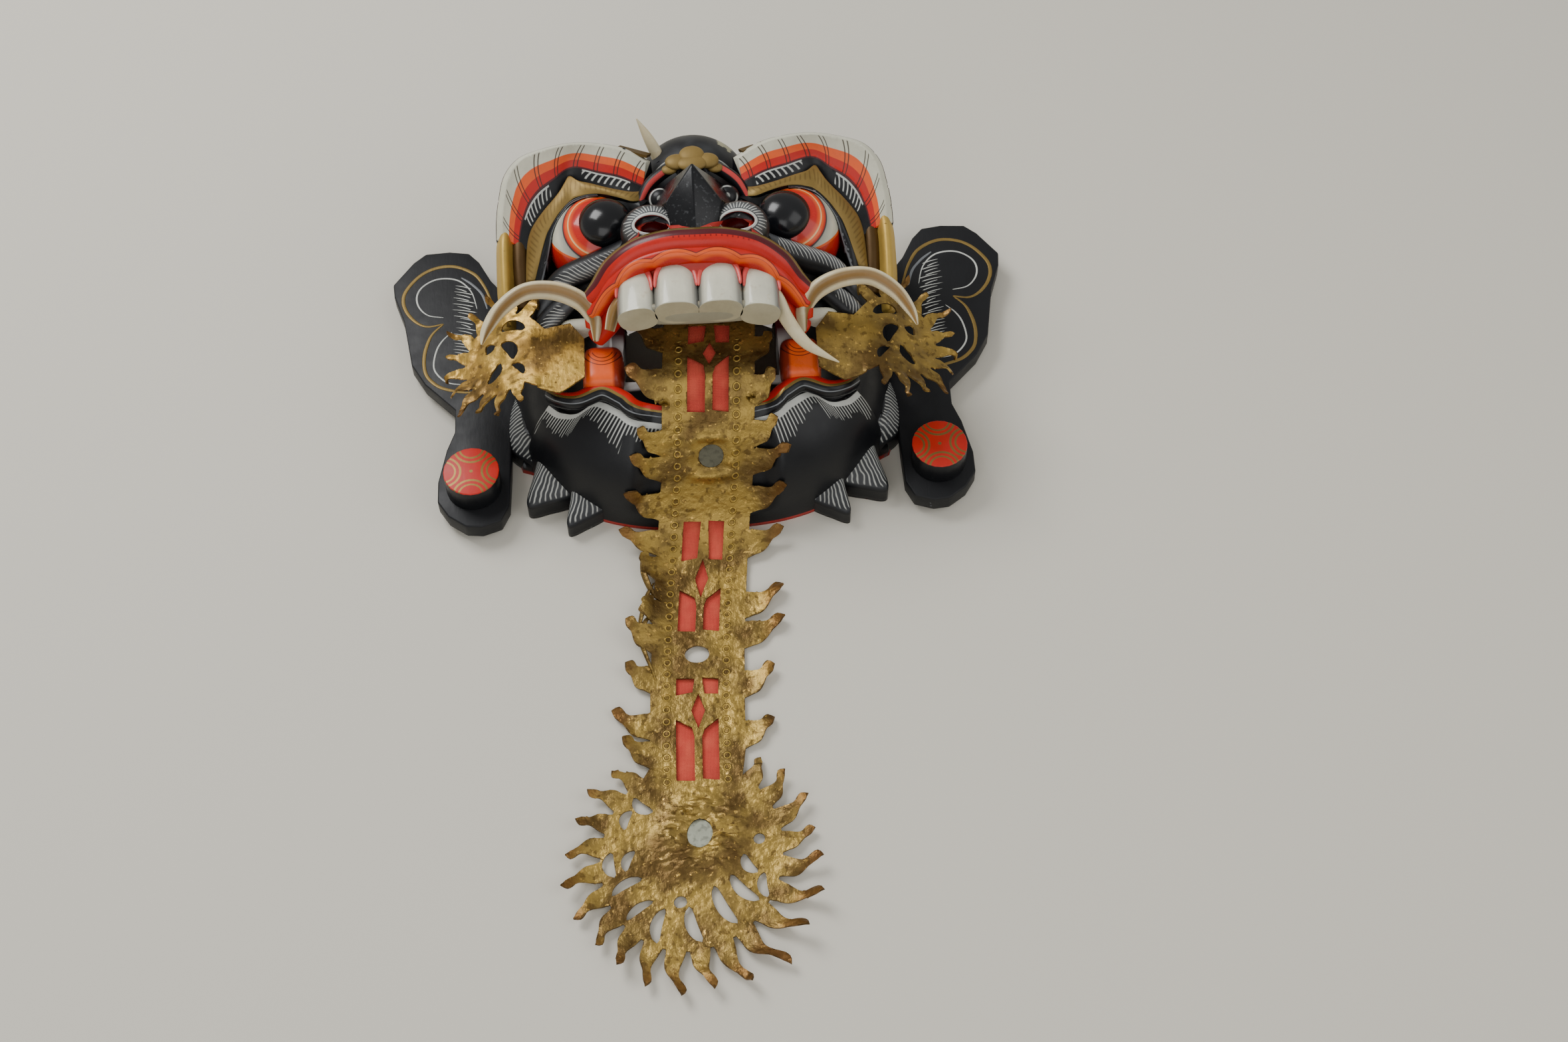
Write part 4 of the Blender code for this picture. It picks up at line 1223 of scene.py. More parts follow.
    def build(self) -> bpy.types.Object:
        """The nose, the trefoil, knobs, folds and forehead.

        Returns:
            The joined piece.
        """
        gold = Coat("trefoil", Ink.GOLD, Finish(roughness=0.55, metallic=0.3, chips=0.6, grain=0.6,
                                                chip_ink=Ink.DARK_GOLD)).done()
        wing, knob, fold = self.wing_coat(), self.knob_coat(), self.frown_coat()
        look = (0, -0.53, 0.85)
        parts = [(self.bridge(), self.ridge_coat()),
                 (ball("forehead", (0, 89, 75), (38, 36, 41), levels=50, count=80), self.dome_coat()),
                 (ball("trefoil_top", (0, 77, 127.5), (8, 7, 3)), gold),
                 (ball("trefoil_root", (0, 70, 127.5), (9.5, 6, 2.8)), gold)]
        for label, side in SIDES:
            parts.append((self.wing_form(label, side), wing))
            parts.append((ball("knob_" + label, (21 * side, 50, 117), (8, 8, 8), axis=look), knob))
            parts.append((ball("trefoil_" + label, (9.5 * side, 73, 126), (7.5, 6, 3)), gold))
            parts.append((ball("trefoil_tip_" + label, (14.5 * side, 69, 123.5), (5, 3.6, 2.2)), gold))
            parts.append((roll("frown_" + label, to_side(self.frown, side), (3.2, 4, 4, 3), (4, 4.5, 4.5, 4),
                               (0, -0.5, 1), 40, 24), fold))
        return wooden("mask_nose", parts)


@dataclass
class UpperJaw:
    """The arched upper lip, gums and four big teeth."""

    lip: Points = ((-68, -24, 112), (-60, -20, 119), (-50, -14, 131), (-36, -9, 140), (-18, -7, 145),
                   (0, -7, 146), (18, -7, 145), (36, -9, 140), (50, -14, 131), (60, -20, 119), (68, -24, 112))
    corner: Points = ((62, -20, 115), (64.5, -28, 108), (66, -35, 100))
    teeth: tuple = (((13.2, -41, 130), (13.5, 33, 10.5), 0, -12.5),
                    ((37, -42, 124.8), (12.1, 34, 10.5), 16, -13))
    tooth_power: float = 2.5
    arch_foot: float = -38.0

    def lip_coat(self) -> bpy.types.Material:
        """A gold edge, bands of maroon and red, and plain strokes along the middle.

        Returns:
            The material.
        """
        coat = Coat("upper_lip", Ink.RED, Finish(roughness=0.30, chips=0.2, grain=0.2))
        a, b = coat.attribute("a"), coat.attribute("b")
        middle = (a - 92).size()
        coat.lay(b.between(92, 220, 2), Ink.MAROON)
        coat.gild(b.between(124, 170, 2.5))
        coat.lay(b.between(170, 300, 3), Ink.BLACK)
        ticks = a.strokes(3.1, 0.2, 0.2) * b.between(82, 91, 2) * middle.below(24, 1)
        coat.lay(ticks, Ink.BLACK, 0.75)
        return coat.done()

    def gum_coat(self, middle: float) -> bpy.types.Material:
        """Orange, with a dark scalloped line above and red towards the teeth.

        Args:
            middle: How far along the gum its middle lies.

        Returns:
            The material.
        """
        coat = Coat("upper_gum", Ink.ORANGE, Finish(roughness=0.30, chips=0.1, grain=0.2))
        a, b = coat.attribute("a"), coat.attribute("b")
        scallop = ((a - middle) * (math.pi / 26)).combine("SINE").size() * 34
        level = b - scallop
        coat.lay(level.above(70, 3), Ink.RED)
        coat.lay(level.near(68, 3, 2), Ink.MAROON, 0.9)
        coat.lay(level.near(46, 2, 2), (0.25, 0.02, 0.01), 0.6)
        coat.lay(level.below(14, 20), Ink.RED)
        return coat.done()

    def tooth_coat(self) -> bpy.types.Material:
        """Cream, with painted shade: dark in the grooves between the teeth, grey down one side and darker on
        the cut face below; with brown stains.

        Returns:
            The material.
        """
        enamel = Finish(roughness=0.22, coat=0.3, chips=0.15, grain=0.12, chip_ink=Ink.WOOD)
        coat = Coat("tooth", Ink.CREAM, enamel)
        a, b = coat.attribute("a"), coat.attribute("b")
        # Painted shade: dark down both sides of each tooth where the grooves between teeth lie, and grey down
        # its side towards +X.
        coat.lay(a.size().above(0.78, 0.2), (0.10, 0.10, 0.095), 0.8)
        coat.lay(a.above(0.62, 0.4), Ink.GREY, 0.35)
        coat.lay(coat.speckle(140, 5).above(0.66, 0.1), (0.34, 0.20, 0.08), 0.35)
        # Painted shade: the flat cut face below the tooth is a darker cream.
        coat.lay(b.below(TOOTH_CUT + 0.4, 0.3), (0.40, 0.36, 0.24))
        return coat.done()

    def tooth_form(self, name: str, place: tuple, radii: tuple, lean: float) -> Form:
        """A tooth, cut flat below.

        Args:
            name: The tooth's name.
            place: Its middle.
            radii: Its radii.
            lean: How far it is turned outwards, in degrees.

        Returns:
            The form, with "a" from -1 to 1 across the tooth and "b" down it.
        """
        turn = Matrix.Rotation(math.radians(lean), 3, "Y") if lean else None
        form = ball(name, place, radii, self.tooth_power, (0, 1, 0), turn, 56, 64, hollow=False)
        form.rings[:, :, 1] = np.maximum(form.rings[:, :, 1], TOOTH_CUT)
        form.ends = tuple(np.array((end[0], max(end[1], TOOTH_CUT), end[2])) for end in form.ends)
        across = (form.rings[:, :, 0] - place[0]) / radii[0]
        form.along = closed(across)
        form.across = closed(form.rings[:, :, 1])
        return form

    def bead(self, place: tuple, radii: tuple, lean: float, top: float) -> list:
        """The arch where a tooth comes out of the gum, laid on the tooth's own surface.

        Args:
            place: The tooth's middle.
            radii: Its radii.
            lean: How far it is turned outwards, in degrees.
            top: How high the arch reaches, along Y.

        Returns:
            The arch's points.
        """
        turn = np.array(Matrix.Rotation(math.radians(lean), 3, "Y"))
        points = []
        for degrees in (-86, -72, -55, -36, -18, 0, 18, 36, 55, 72, 86):
            swing = math.radians(degrees)
            dx = 0.94 * math.sin(swing)
            rise = (top - self.arch_foot) * max(math.cos(swing), 0) ** 0.7
            dy = (self.arch_foot + rise - place[1]) / radii[1]
            dz = max(1 - abs(dx) ** self.tooth_power - abs(dy) ** self.tooth_power, 0.25)
            dz = dz ** (1 / self.tooth_power)
            spot = turn @ np.array((dx * radii[0], dy * radii[1], dz * radii[2] + 0.2))
            points.append(tuple(spot + np.array(place)))
        return points

    def build(self) -> bpy.types.Object:
        """The lip, the gums' beads and the teeth.

        Returns:
            The joined piece.
        """
        lip, tooth = self.lip_coat(), self.tooth_coat()
        cream = Coat("molar", Ink.CREAM, Finish(roughness=0.3, chips=0.1)).done()
        # Painted shade: the bite plate under the teeth is a darker cream than the teeth.
        tooth_back_painted_shade = Coat("tooth_back_painted_shade", (0.30, 0.28, 0.20), Finish(roughness=0.4, chips=0.1)).done()
        gum = Coat("gum", Ink.PINK, Finish(roughness=0.28, chips=0.0, grain=0.1)).done()
        flesh = Coat("muzzle", Ink.RED, Finish(roughness=0.32, chips=0.1)).done()
        widths = (5, 7, 8, 8, 8, 8, 8, 8, 8, 7, 5)
        heights = (6, 7, 8, 8, 8, 8, 8, 8, 8, 7, 6)
        slim = tuple(value * 0.72 for value in heights)
        bead_half = (1.0, 2.0, 2.3, 2.0, 1.0)
        gum_path = tuple((x * 0.98, y - 7, z - 5) for x, y, z in self.lip)
        bed_path = tuple((x * 0.97, y - 12, z - 23) for x, y, z in self.lip)
        middle = length_along(flow(gum_path, np.linspace(0, 1, 180)))[-1] / 2
        parts = [(roll("upper_lip", self.lip, widths, heights, (0, -0.25, 1), 180, 64), lip),
                 (roll("upper_gum", gum_path, slim, heights, (0, -0.25, 1), 180, 48), self.gum_coat(middle)),
                 (roll("gum_bed", bed_path, heights, heights, (0, -0.25, 1), 120, 32), flesh),
                 (ball("bite", (0, -45.4, 125), (45, 3.8, 9.5), 2.6, hollow=False), tooth_back_painted_shade)]
        for label, side in SIDES:
            for index, ((x, y, z), radii, lean, top) in enumerate(self.teeth):
                name = "tooth_%s_%d" % (label, index)
                place = (x * side, y, z)
                parts.append((self.tooth_form(name, place, radii, lean * side), tooth))
                bead = self.bead(place, radii, lean * side, top)
                parts.append((roll("bead_%s_%d" % (label, index), bead, bead_half, bead_half, (0, 0.3, 1),
                                   50, 14, round_end=0.06, hollow=False), gum))
            molar = ball("molar_" + label, (75 * side, -22, 82), (12, 5.5, 7), 3, hollow=False)
            parts.append((molar, cream))
            parts.append((roll("corner_" + label, to_side(self.corner, side), (6, 6, 4), (6, 6, 4),
                               (0.2, 0.3, 1), 40, 24), flesh))
        return wooden("mask_upper_jaw", parts)


@dataclass
class LowerJaw:
    """The waved lower lip, the jaw with its painted beard, the gum blocks, the leaf fringe and the tufts."""

    lip: Points = ((-96, -60, 66), (-88, -68, 72), (-77, -71, 75), (-62, -66, 76), (-50, -72, 75),
                   (-38, -80, 73), (0, -86, 70), (38, -80, 73), (50, -72, 75), (62, -66, 76), (77, -71, 75),
                   (88, -68, 72), (96, -60, 66))
    leaves: tuple = (("leaf_", ((113, -18, 26), (115, -42, 27), (111, -60, 27), (100, -73, 26)),
                      ((119, -17, 14), (126, -40, 14), (125, -63, 14), (107, -77, 14))),
                     ("tuft_", ((104, -68, 27), (97, -76, 27), (88, -83, 26), (78, -89, 24)),
                      ((107, -77, 15), (114, -106, 14), (98, -105, 14), (80, -100, 15))),
                     ("low_tuft_", ((86, -84, 25), (78, -89, 24), (70, -93, 21), (60, -99, 16)),
                      ((84, -97, 15), (89, -122, 13), (76, -118, 13), (62, -110, 13))))
    jaw_lift: float = 0.5

    def lip_coat(self) -> bpy.types.Material:
        """Red within, a gold edge, then black with a thin pale line.

        Returns:
            The material.
        """
        coat = Coat("lower_lip", Ink.BLACK, Finish(roughness=0.30, chips=0.15, grain=0.2))
        b = coat.attribute("b")
        coat.lay(b.between(88, 260, 3), Ink.RED)
        coat.gild(b.between(70, 88, 3))
        coat.lay(b.near(36, 4, 2.5), Ink.GREY)
        return coat.done()

    def jaw_coat(self) -> bpy.types.Material:
        """Black with a white band under the lip and long strokes that hang from it.

        Returns:
            The material.
        """
        coat = Coat("jaw", Ink.BLACK)
        a, b = coat.attribute("a"), coat.attribute("b")
        x, _, z = coat.coordinates()
        coat.lay(z.below(3.0, 1.0), Ink.RED)
        low = b - x.size().below(74, 24) * 4.2
        coat.lay(low.between(1.0, 5.0, 0.5), Ink.WHITE)
        tuft = (a - 104.5).size() / -31 + 4.3
        wave = tuft.combine("FRACT") * 13 + (a * 0.9).combine("SINE") * 1.4 + 10
        taper = (low - 4) / wave * -0.34 + 0.44
        strokes = (a + low * 0.06).strokes(2.15, taper, 0.18) * low.between(4, wave, 1)
        coat.lay(strokes, Ink.WHITE, 0.85)
        return coat.done()

    def jaw_form(self) -> Form:
        """The jaw's skin, from under the lip down to the rim.

        Returns:
            The form, with "a" in millimetres along the lip and "b" down from it.
        """
        share = np.linspace(0, 1, 230)
        top = flow(self.lip, share)
        radii = np.array(DOME_RADII[:2]) + self.jaw_lift
        flat = (top[:, :2] - np.array((0, -2))) / radii
        reach = (np.abs(flat) ** DOME_POWER).sum(axis=1) ** (1 / DOME_POWER)
        way = flat / reach[:, None]
        height = DOME_RADII[2] + self.jaw_lift
        fall = np.arccos(np.clip((np.maximum(1 - reach ** DOME_POWER, 0.02) ** (1 / DOME_POWER)), 0, 1)
                         ** (DOME_POWER / 2))
        columns = []
        front = 60
        for k in range(front + 1):
            angle = fall + (math.pi / 2 - fall) * k / front
            out = np.sin(angle) ** (2 / DOME_POWER)
            up = np.cos(angle).clip(0) ** (2 / DOME_POWER)
            place = np.stack([way[:, 0] * radii[0] * out, -2 + way[:, 1] * radii[1] * out, height * up], -1)
            columns.append(place)
        walked = np.zeros(len(share))
        rows = [walked.copy()]
        for here, there in zip(columns, columns[1:]):
            walked = walked + np.linalg.norm(there - here, axis=1)
            rows.append(walked.copy())
        inward = np.array((0.90, 0.90, 0.88))
        for k in range(front, -1, -20):
            columns.append(columns[k] * inward + np.array((0, 0, 0.3)))
            rows.append(np.full(len(share), -3.0))
        rings = np.stack(columns, axis=1)
        rings[:, :front + 1] = under_tongue(rings[:, :front + 1])
        rings[:, :, 2] = np.maximum(rings[:, :, 2], 0)
        across = np.stack(rows + [rows[0]], axis=1)
        return Form("jaw_skin", rings, length_along(top), across)

    def leaf_coat(self) -> bpy.types.Material:
        """Black leaves with white strokes across them.

        Returns:
            The material.
        """
        coat = Coat("fringe", Ink.BLACK)
        a, b = coat.attribute("a"), coat.attribute("b")
        coat.lay(b.between(0.1, 0.9, 0.5), Ink.GREY, 0.22)
        taper = b * -0.20 + 0.42
        shaky = a - b * 3 + coat.speckle(70) * 6
        coat.lay(shaky.strokes(2.7, taper, 0.2) * b.between(0.12, 0.93, 0.05), Ink.WHITE, 0.8)
        return coat.done()

    def leaf(self, name: str, seam: Points, edge: Points, side: int) -> Form:
        """A leaf of the fringe, from its seam on the jaw out to its edge.

        Args:
            name: The leaf's name.
            seam: The points of its seam, on the right side.
            edge: The points of its edge.
            side: -1 on the left, 1 on the right.

        Returns:
            The form.
        """
        def skirt(low: np.ndarray, high: np.ndarray) -> list:
            """Straight down from the edge, and back under the jaw.

            Args:
                low: The places along the seam.
                high: The places along the edge.

            Returns:
                The rows behind the leaf.
            """
            foot, root = high.copy(), low.copy()
            foot[:, 2] = 0.1
            root[:, 2] = 0.1
            return [foot, root]

        return strip(name, to_side(seam, side), to_side(edge, side), 1.2, skirt, 60, 14, 4, hollow=False)

    def block_coat(self) -> bpy.types.Material:
        """Orange blocks with thin dark arcs, red over their tops and dark red down their inner sides as
        painted shade.

        Returns:
            The material.
        """
        coat = Coat("gum_block", Ink.ORANGE, Finish(roughness=0.3, chips=0.15, grain=0.2))
        x, y, z = coat.coordinates()
        reach = ((x.size() - 61) * (x.size() - 61) + (y + 41) * (y + 41)).combine("SQRT")
        arcs = (reach / 2.6).combine("FRACT").near(0.5, 0.12, 0.1) * reach.between(4.2, 12.2, 0.2)
        arcs = arcs * y.below(-43, 1)
        coat.lay(y.above(-42, 8), Ink.RED, 0.8)
        # Painted shade: dark red down the block's inner side.
        coat.lay(x.size().below(54.5, 2), (0.17, 0.016, 0.010), 0.9)
        coat.lay(arcs * z.above(78, 2), Ink.BLACK, 0.8)
        return coat.done()

    def build(self) -> bpy.types.Object:
        """The whole lower jaw.

        Returns:
            The joined piece.
        """
        leaf, block = self.leaf_coat(), self.block_coat()
        widths = (3.5, 4.5, 5.5, 6, 6, 6, 6, 6, 6, 6, 5.5, 4.5, 3.5)
        lip = roll("lower_lip", self.lip, widths, (5.6,) * 13, (0, 0, 1), 200, 48)
        lip.rings = under_tongue(lip.rings)
        parts = [(lip, self.lip_coat()),
                 (self.jaw_form(), self.jaw_coat())]
        for label, side in SIDES:
            parts.append((ball("gum_block_" + label, (61 * side, -51, 60), (13, 16, 26), 5), block))
            parts += [(self.leaf(kind + label, seam, edge, side), leaf) for kind, seam, edge in self.leaves]
        return wooden("mask_lower_jaw", parts)


@dataclass
class Temples:
    """The gilded columns at the temples."""

    outer: Points = ((120, 53, 86), (121, 43, 88), (121.3, 30, 85), (121, 8, 77), (120, -10, 68))
    inner: Points = ((112, 52, 85), (112, 40, 84), (112, 27, 80), (111, 12, 74), (110, 4, 70))

    def build(self) -> bpy.types.Object:
        """A bright outer column and a dark hollow one on each side, one gilding painted lighter on the column
        and darker in the hollow as painted light and shade.

        Returns:
            The joined piece.
        """
        # Painted light and shade: one gilding, lighter on the outer column as its lit side and darker in the
        # hollow beside it as its shade.
        bright = Coat("temple_gilt_painted_light", Ink.BRIGHT_GOLD, GILT_PAINT).done()
        dark = Coat("temple_hollow_painted_shade", Ink.DARK_GOLD, GILT_PAINT).done()
        parts = []
        for label, side in SIDES:
            column = roll("temple_" + label, to_side(self.outer, side), (4.5, 5.5, 5.5, 5.5, 4),
                          (7, 8, 8, 8, 6), (0, 0, 1), 60, 28, 0.12)
            hollow = roll("temple_hollow_" + label, to_side(self.inner, side), (6,) * 5, (7.5,) * 5,
                          (0, 0, 1), 40, 24)
            parts += [(column, bright), (hollow, dark)]
        return wooden("mask_temples", parts)


@dataclass
class Tusks:
    """Boar tusks and the one forehead horn."""

    long_path: Points = ((64, -44, 98), (64, -33, 106), (72, -24, 114), (88, -19, 119), (106, -19, 119),
                         (121, -27, 114), (130, -39, 109), (133, -49, 107))
    short_path: Points = ((43, -26, 125), (49, -36, 121), (54, -47, 115), (65, -59, 106), (84, -68, 98))
    stump_path: Points = ((-43, -26, 122), (-51, -35, 117), (-55, -45, 110))
    horn_path: Points = ((-20, 93, 100), (-23, 98, 108), (-28, 103, 118), (-34, 108, 129))
    long_half: float = 5.25
    short_half: float = 4.25
    horn_half: float = 4.0

    def coat(self, name: str, groove: float, wide: float) -> bpy.types.Material:
        """Ivory, with a brown hollow side and a painted highlight down its middle.

        Args:
            name: The material's name.
            groove: Where the hollow lies, in degrees round the tusk.
            wide: Half of how wide it is, in degrees.

        Returns:
            The material.
        """
        coat = Coat(name, Ink.IVORY, TUSK)
        a, b = coat.attribute("a"), coat.attribute("b")
        rings = coat.speckle(160, 3)
        coat.lay((a * 0.05 + rings).combine("FRACT").above(0.5, 0.8), (0.60, 0.48, 0.26), 0.35)
        hollow = (b - groove).size().below(wide, 18)
        coat.lay(hollow, Ink.TUSK_BROWN, 0.85)
        # Painted highlight: a lighter brown down the middle of the hollow side.
        coat.lay((b - groove).size().below(wide * 0.4, 12), (0.24, 0.125, 0.026), 0.8)
        return coat.done()

    def build(self) -> list:
        """Every tusk, each in place of its own node.

        Returns:
            The tusks.
        """
        made = []
        profile = (0.28, 0.85, 1.08, 1.08, 1, 0.9, 0.62, 0.12)
        for label, side in SIDES:
            half = [self.long_half * share for share in profile]
            groove = 48 if side > 0 else 132
            made.append(("long_tusk_" + label, to_side(self.long_path, side), half, 0.12, groove, 34))
        short, horn = self.short_half, self.horn_half
        for node, path, half, shares, lobes, groove, wide in (
                ("short_tusk_right", self.short_path, short, (0.9, 1, 1.05, 0.8, 0.1), 0.08, 150, 32),
                ("short_tusk_stump_left", self.stump_path, short, (1.05, 1, 0.7), 0.08, 90, 60),
                ("forehead_horn_left", self.horn_path, horn, (1, 1, 0.75, 0.1), 0.06, 270, 36)):
            made.append((node, path, [half * share for share in shares], lobes, groove, wide))
        pieces = []
        for node, path, half, lobes, groove, wide in made:
            form = roll(node + "_ivory", path, half, half, (0.2, 0.1, 1), 110, 36, lobes, 0.012,
                        hollow=False)
            thing = form.build()
            dress(thing, self.coat(node, groove, wide))
            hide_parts(node)
            pieces.append(thing)
            LOG.info("%s", thing.name)
        return pieces


class Drape:
    """The curve under the tongue: out of the mouth, down over the chin and along the table."""

    ridge: Points = ((-26, 81), (-50, 81), (-66, 79), (-80, 74), (-90, 64), (-100, 49), (-112, 30),
                     (-124, 13.5), (-138, 4.8))
    table: float = 1.5
    reach: float = 455.0
    aside: float = 6.0
    slant: float = 0.06
    sideways_bow: float = 3.5

    def __init__(self) -> None:
        """Walk along the curve."""
        landing = self.ridge[-1][0] - 17
        curve = flow([*self.ridge, (landing, self.table)], np.linspace(0, 1, 160))
        curve[:, 1] = np.maximum(curve[:, 1], self.table)
        curve = np.vstack([curve, [(landing - self.reach, self.table)]])
        self.walked = length_along(curve)
        self.curve = curve

    def place(self, across: np.ndarray, along: np.ndarray, height: np.ndarray) -> np.ndarray:
        """Where points of the flat leather come to lie.

        Args:
            across: Millimetres to the right of the strip's middle line.
            along: Millimetres from its root.
            height: Millimetres above its underside.

        Returns:
            The places in carver's millimetres.
        """
        y, z = (np.interp(along, self.walked, self.curve[:, k]) for k in (0, 1))
        dy, dz = (np.interp(along + 1, self.walked, self.curve[:, k])
                  - np.interp(along - 1, self.walked, self.curve[:, k]) for k in (0, 1))
        size = np.maximum(np.hypot(dy, dz), 1e-9)
        bow = self.sideways_bow * np.sin(np.clip((along - 100) / 235, 0, 1) * math.pi)
        x = self.aside + across - self.slant * along - bow
        return np.stack([x, y + height * dz / size, z - height * dy / size], -1)


def flame(start: Points, end: Points, tip: Points, sway: float) -> list:
    """The edge of a leather flame between its roots: a full belly, a neck and a small leaf at the tip.

    Args:
        start: Its first root.
        end: Its other root.
        tip: Its tip.
        sway: How far it swings aside, as a share of its length.

    Returns:
        The edge's points.
    """
    start, end, tip = (np.array(p, float) for p in (start, end, tip))
    middle, beside = (start + end) / 2, (end - start) / 2
    way = tip - middle
    reach, half = np.linalg.norm(way), np.linalg.norm(beside)
    normal = np.array((-way[1], way[0])) / reach
    normal = normal * (np.sign(normal @ beside) or 1)
    t = np.linspace(0, 1, 15)
    width = flow([(w,) for w in (1, 0.92, 0.88, 0.74, 0.54, 0.38, 0.44, 0.38, 0.03)], t)[:, 0] * half
    swing = np.sin(t * math.pi * 1.7) * sway * reach * t
    centre = middle + way * t[:, None] + normal * swing[:, None]
    lean = np.minimum(t * 4, 1)[:, None]
    offset = (beside / half * (1 - lean) + normal * lean) * width[:, None]
    return [*(centre - offset), *(centre + offset)[-2::-1]]


def ring_of(cx: float, cy: float, rx: float, ry: float, count: int = 28) -> list:
    """A ring of points."""
    angles = np.linspace(0, math.tau, count, endpoint=False)
    return list(np.stack([cx + rx * np.cos(angles), cy + ry * np.sin(angles)], -1))


def crescent(cx: float, cy: float, length: float, width: float, angle: float, bend: float = 0.35) -> list:
    """A pierced crescent, pointed at both ends.

    Args:
        cx: Its middle across.
        cy: Its middle along.
        length: From point to point.
        width: Of its belly.
        angle: How far it is turned, in degrees.
        bend: How far it is bowed, as a share of its width.

    Returns:
        Its edge's points.
    """
    t = np.linspace(-1, 1, 13)
    belly = np.sqrt(np.maximum(1 - t * t, 0)) * width / 2
    arch = (1 - t * t) * width * bend
    near, far = (np.stack([t * length / 2, arch + way * belly], -1) for way in (-1, 1))
    edge = [*near, *far[-2:0:-1]]
    c, s = math.cos(math.radians(angle)), math.sin(math.radians(angle))
    return [(cx + x * c - y * s, cy + x * s + y * c) for x, y in edge]


def ripple(x: np.ndarray, y: np.ndarray, scale: float, seed: float) -> np.ndarray:
    """Smooth noise from -1 to 1 over a flat sheet."""
    return np.array([noise.noise(Vector((a / scale, b / scale, seed))) for a, b in zip(x, y)])


def leather_coat(name: str, ground: "Ink | tuple", dots: bool) -> bpy.types.Material:
    """Gilt leather: bright where the gold leaf holds, brown where it is rubbed.

    Args:
        name: The material's name.
        ground: Its main tone.
        dots: Whether rows of small rings are punched along both edges.

    Returns:
        The material.
    """
    coat = Coat(name, ground, HIDE)
    a, b, tip = coat.attribute("a"), coat.attribute("b"), coat.attribute("tip")
    cloud = coat.speckle(38, 5)
    coat.lay(cloud.above(0.52, 0.16), Ink.BRIGHT_GOLD, 0.55)
    coat.lay(cloud.below(0.43, 0.12), (0.11, 0.062, 0.018), 0.85)
    coat.lay(coat.speckle(210, 5).above(0.60, 0.08), Ink.DARK_GOLD, 0.6)
    coat.lay(coat.speckle(330, 3).above(0.67, 0.05), (0.80, 0.50, 0.12), 0.6)
    coat.lay((tip + cloud * 8).above(18, 10), (0.16, 0.07, 0.02), 0.8)
    relief = coat.speckle(240, 4) * (1.0 if dots else 0.4)
    if dots:
        dx = (b + 0.6).size() - 18
        ds = (a / 8).combine("FRACT") * 8 - 4
        far = (dx * dx + ds * ds).combine("SQRT")
        row = a.between(14, 312, 1)
        ring = far.near(1.9, 0.45, 0.5) * row
        coat.lay(ring, Ink.BRIGHT_GOLD, 0.8)
        coat.lay(far.below(1.3, 0.6) * row, Ink.DARK_GOLD, 0.6)
        relief = relief + ring * 0.8
    return coat.done(relief, 0.0010)


@dataclass
class Hide:
    """A sheet of gilt leather: cut flat, crumpled, and laid in place."""

    name: str
    outline: list
    holes: list
    relief: Callable
    place: Callable
    beyond: Callable
    step: float = 2.2
    thickness: float = 1.1
    floor: float = 0.25
    rests: Optional[BVHTree] = None
    rests_from: float = 40.0
    margin: float = 0.5

    def flat(self) -> bmesh.types.BMesh:
        """The cut sheet, still flat, divided into small cells.

        Returns:
            The sheet.
        """
        curve = bpy.data.curves.new(self.name, "CURVE")
        curve.dimensions = "2D"
        curve.fill_mode = "BOTH"
        for loop in (self.outline, *self.holes):
            spline = curve.splines.new("POLY")
            spline.points.add(len(loop) - 1)
            for point, (x, y) in zip(spline.points, loop):
                point.co = (x, y, 0, 1)
            spline.use_cyclic_u = True
        holder = bpy.data.objects.new(self.name, curve)
        bpy.context.scene.collection.objects.link(holder)
        mesh = bpy.data.meshes.new_from_object(holder.evaluated_get(bpy.context.evaluated_depsgraph_get()))
        bm = bmesh.new()
        bm.from_mesh(mesh)
        bpy.data.objects.remove(holder)
        bpy.data.curves.remove(curve)
        bpy.data.meshes.remove(mesh)
        bmesh.ops.remove_doubles(bm, verts=bm.verts, dist=0.02)
        rows = np.array([tuple(v.co[:2]) for v in bm.verts])
        for axis in (0, 1):
            normal = (1, 0, 0) if axis == 0 else (0, 1, 0)
            for at in np.arange(rows[:, axis].min() + self.step * 0.37, rows[:, axis].max(), self.step):
                bmesh.ops.bisect_plane(bm, geom=bm.verts[:] + bm.edges[:] + bm.faces[:], dist=0.05,
                                       plane_co=tuple(at * c for c in normal), plane_no=normal)
        bmesh.ops.dissolve_degenerate(bm, edges=bm.edges[:], dist=0.05)
        return bm

    def build(self, material: bpy.types.Material) -> bpy.types.Object:
        """Crumple the sheet, lay it, give it thickness and its gilding.

        Args:
            material: Its gilding.

        Returns:
            The piece.
        """
        bm = self.flat()
        flat = np.array([tuple(v.co[:2]) for v in bm.verts])
        x, y = flat[:, 0], flat[:, 1]
        places = self.place(x, y, self.relief(x, y))
        if self.rests:
            lying = y > self.rests_from
            places[lying] = rest_on(places[lying], self.rests, self.margin)
        places[:, 2] = np.maximum(places[:, 2], self.floor)
        for vert, spot in zip(bm.verts, to_world(places)):
            vert.co = spot
        bm.normal_update()
        if sum(face.normal.z * face.calc_area() for face in bm.faces) < 0:
            bmesh.ops.reverse_faces(bm, faces=bm.faces[:])
        mesh = bpy.data.meshes.new(self.name)
        bm.to_mesh(mesh)
        bm.free()
        for name, values in (("a", y), ("b", x), ("tip", self.beyond(x, y))):
            store(mesh, name, values)
        thing = bpy.data.objects.new(self.name, mesh)
        bpy.context.scene.collection.objects.link(thing)
        take_up(thing)
        thick = thing.modifiers.new("thick", "SOLIDIFY")
        thick.thickness = self.thickness * MM
        thick.offset = 1
        bpy.ops.object.modifier_apply(modifier="thick")
        bpy.ops.object.shade_smooth_by_angle(angle=math.radians(50))
        dress(thing, material)
        LOG.info("%s: %d faces", self.name, len(thing.data.polygons))
        return thing


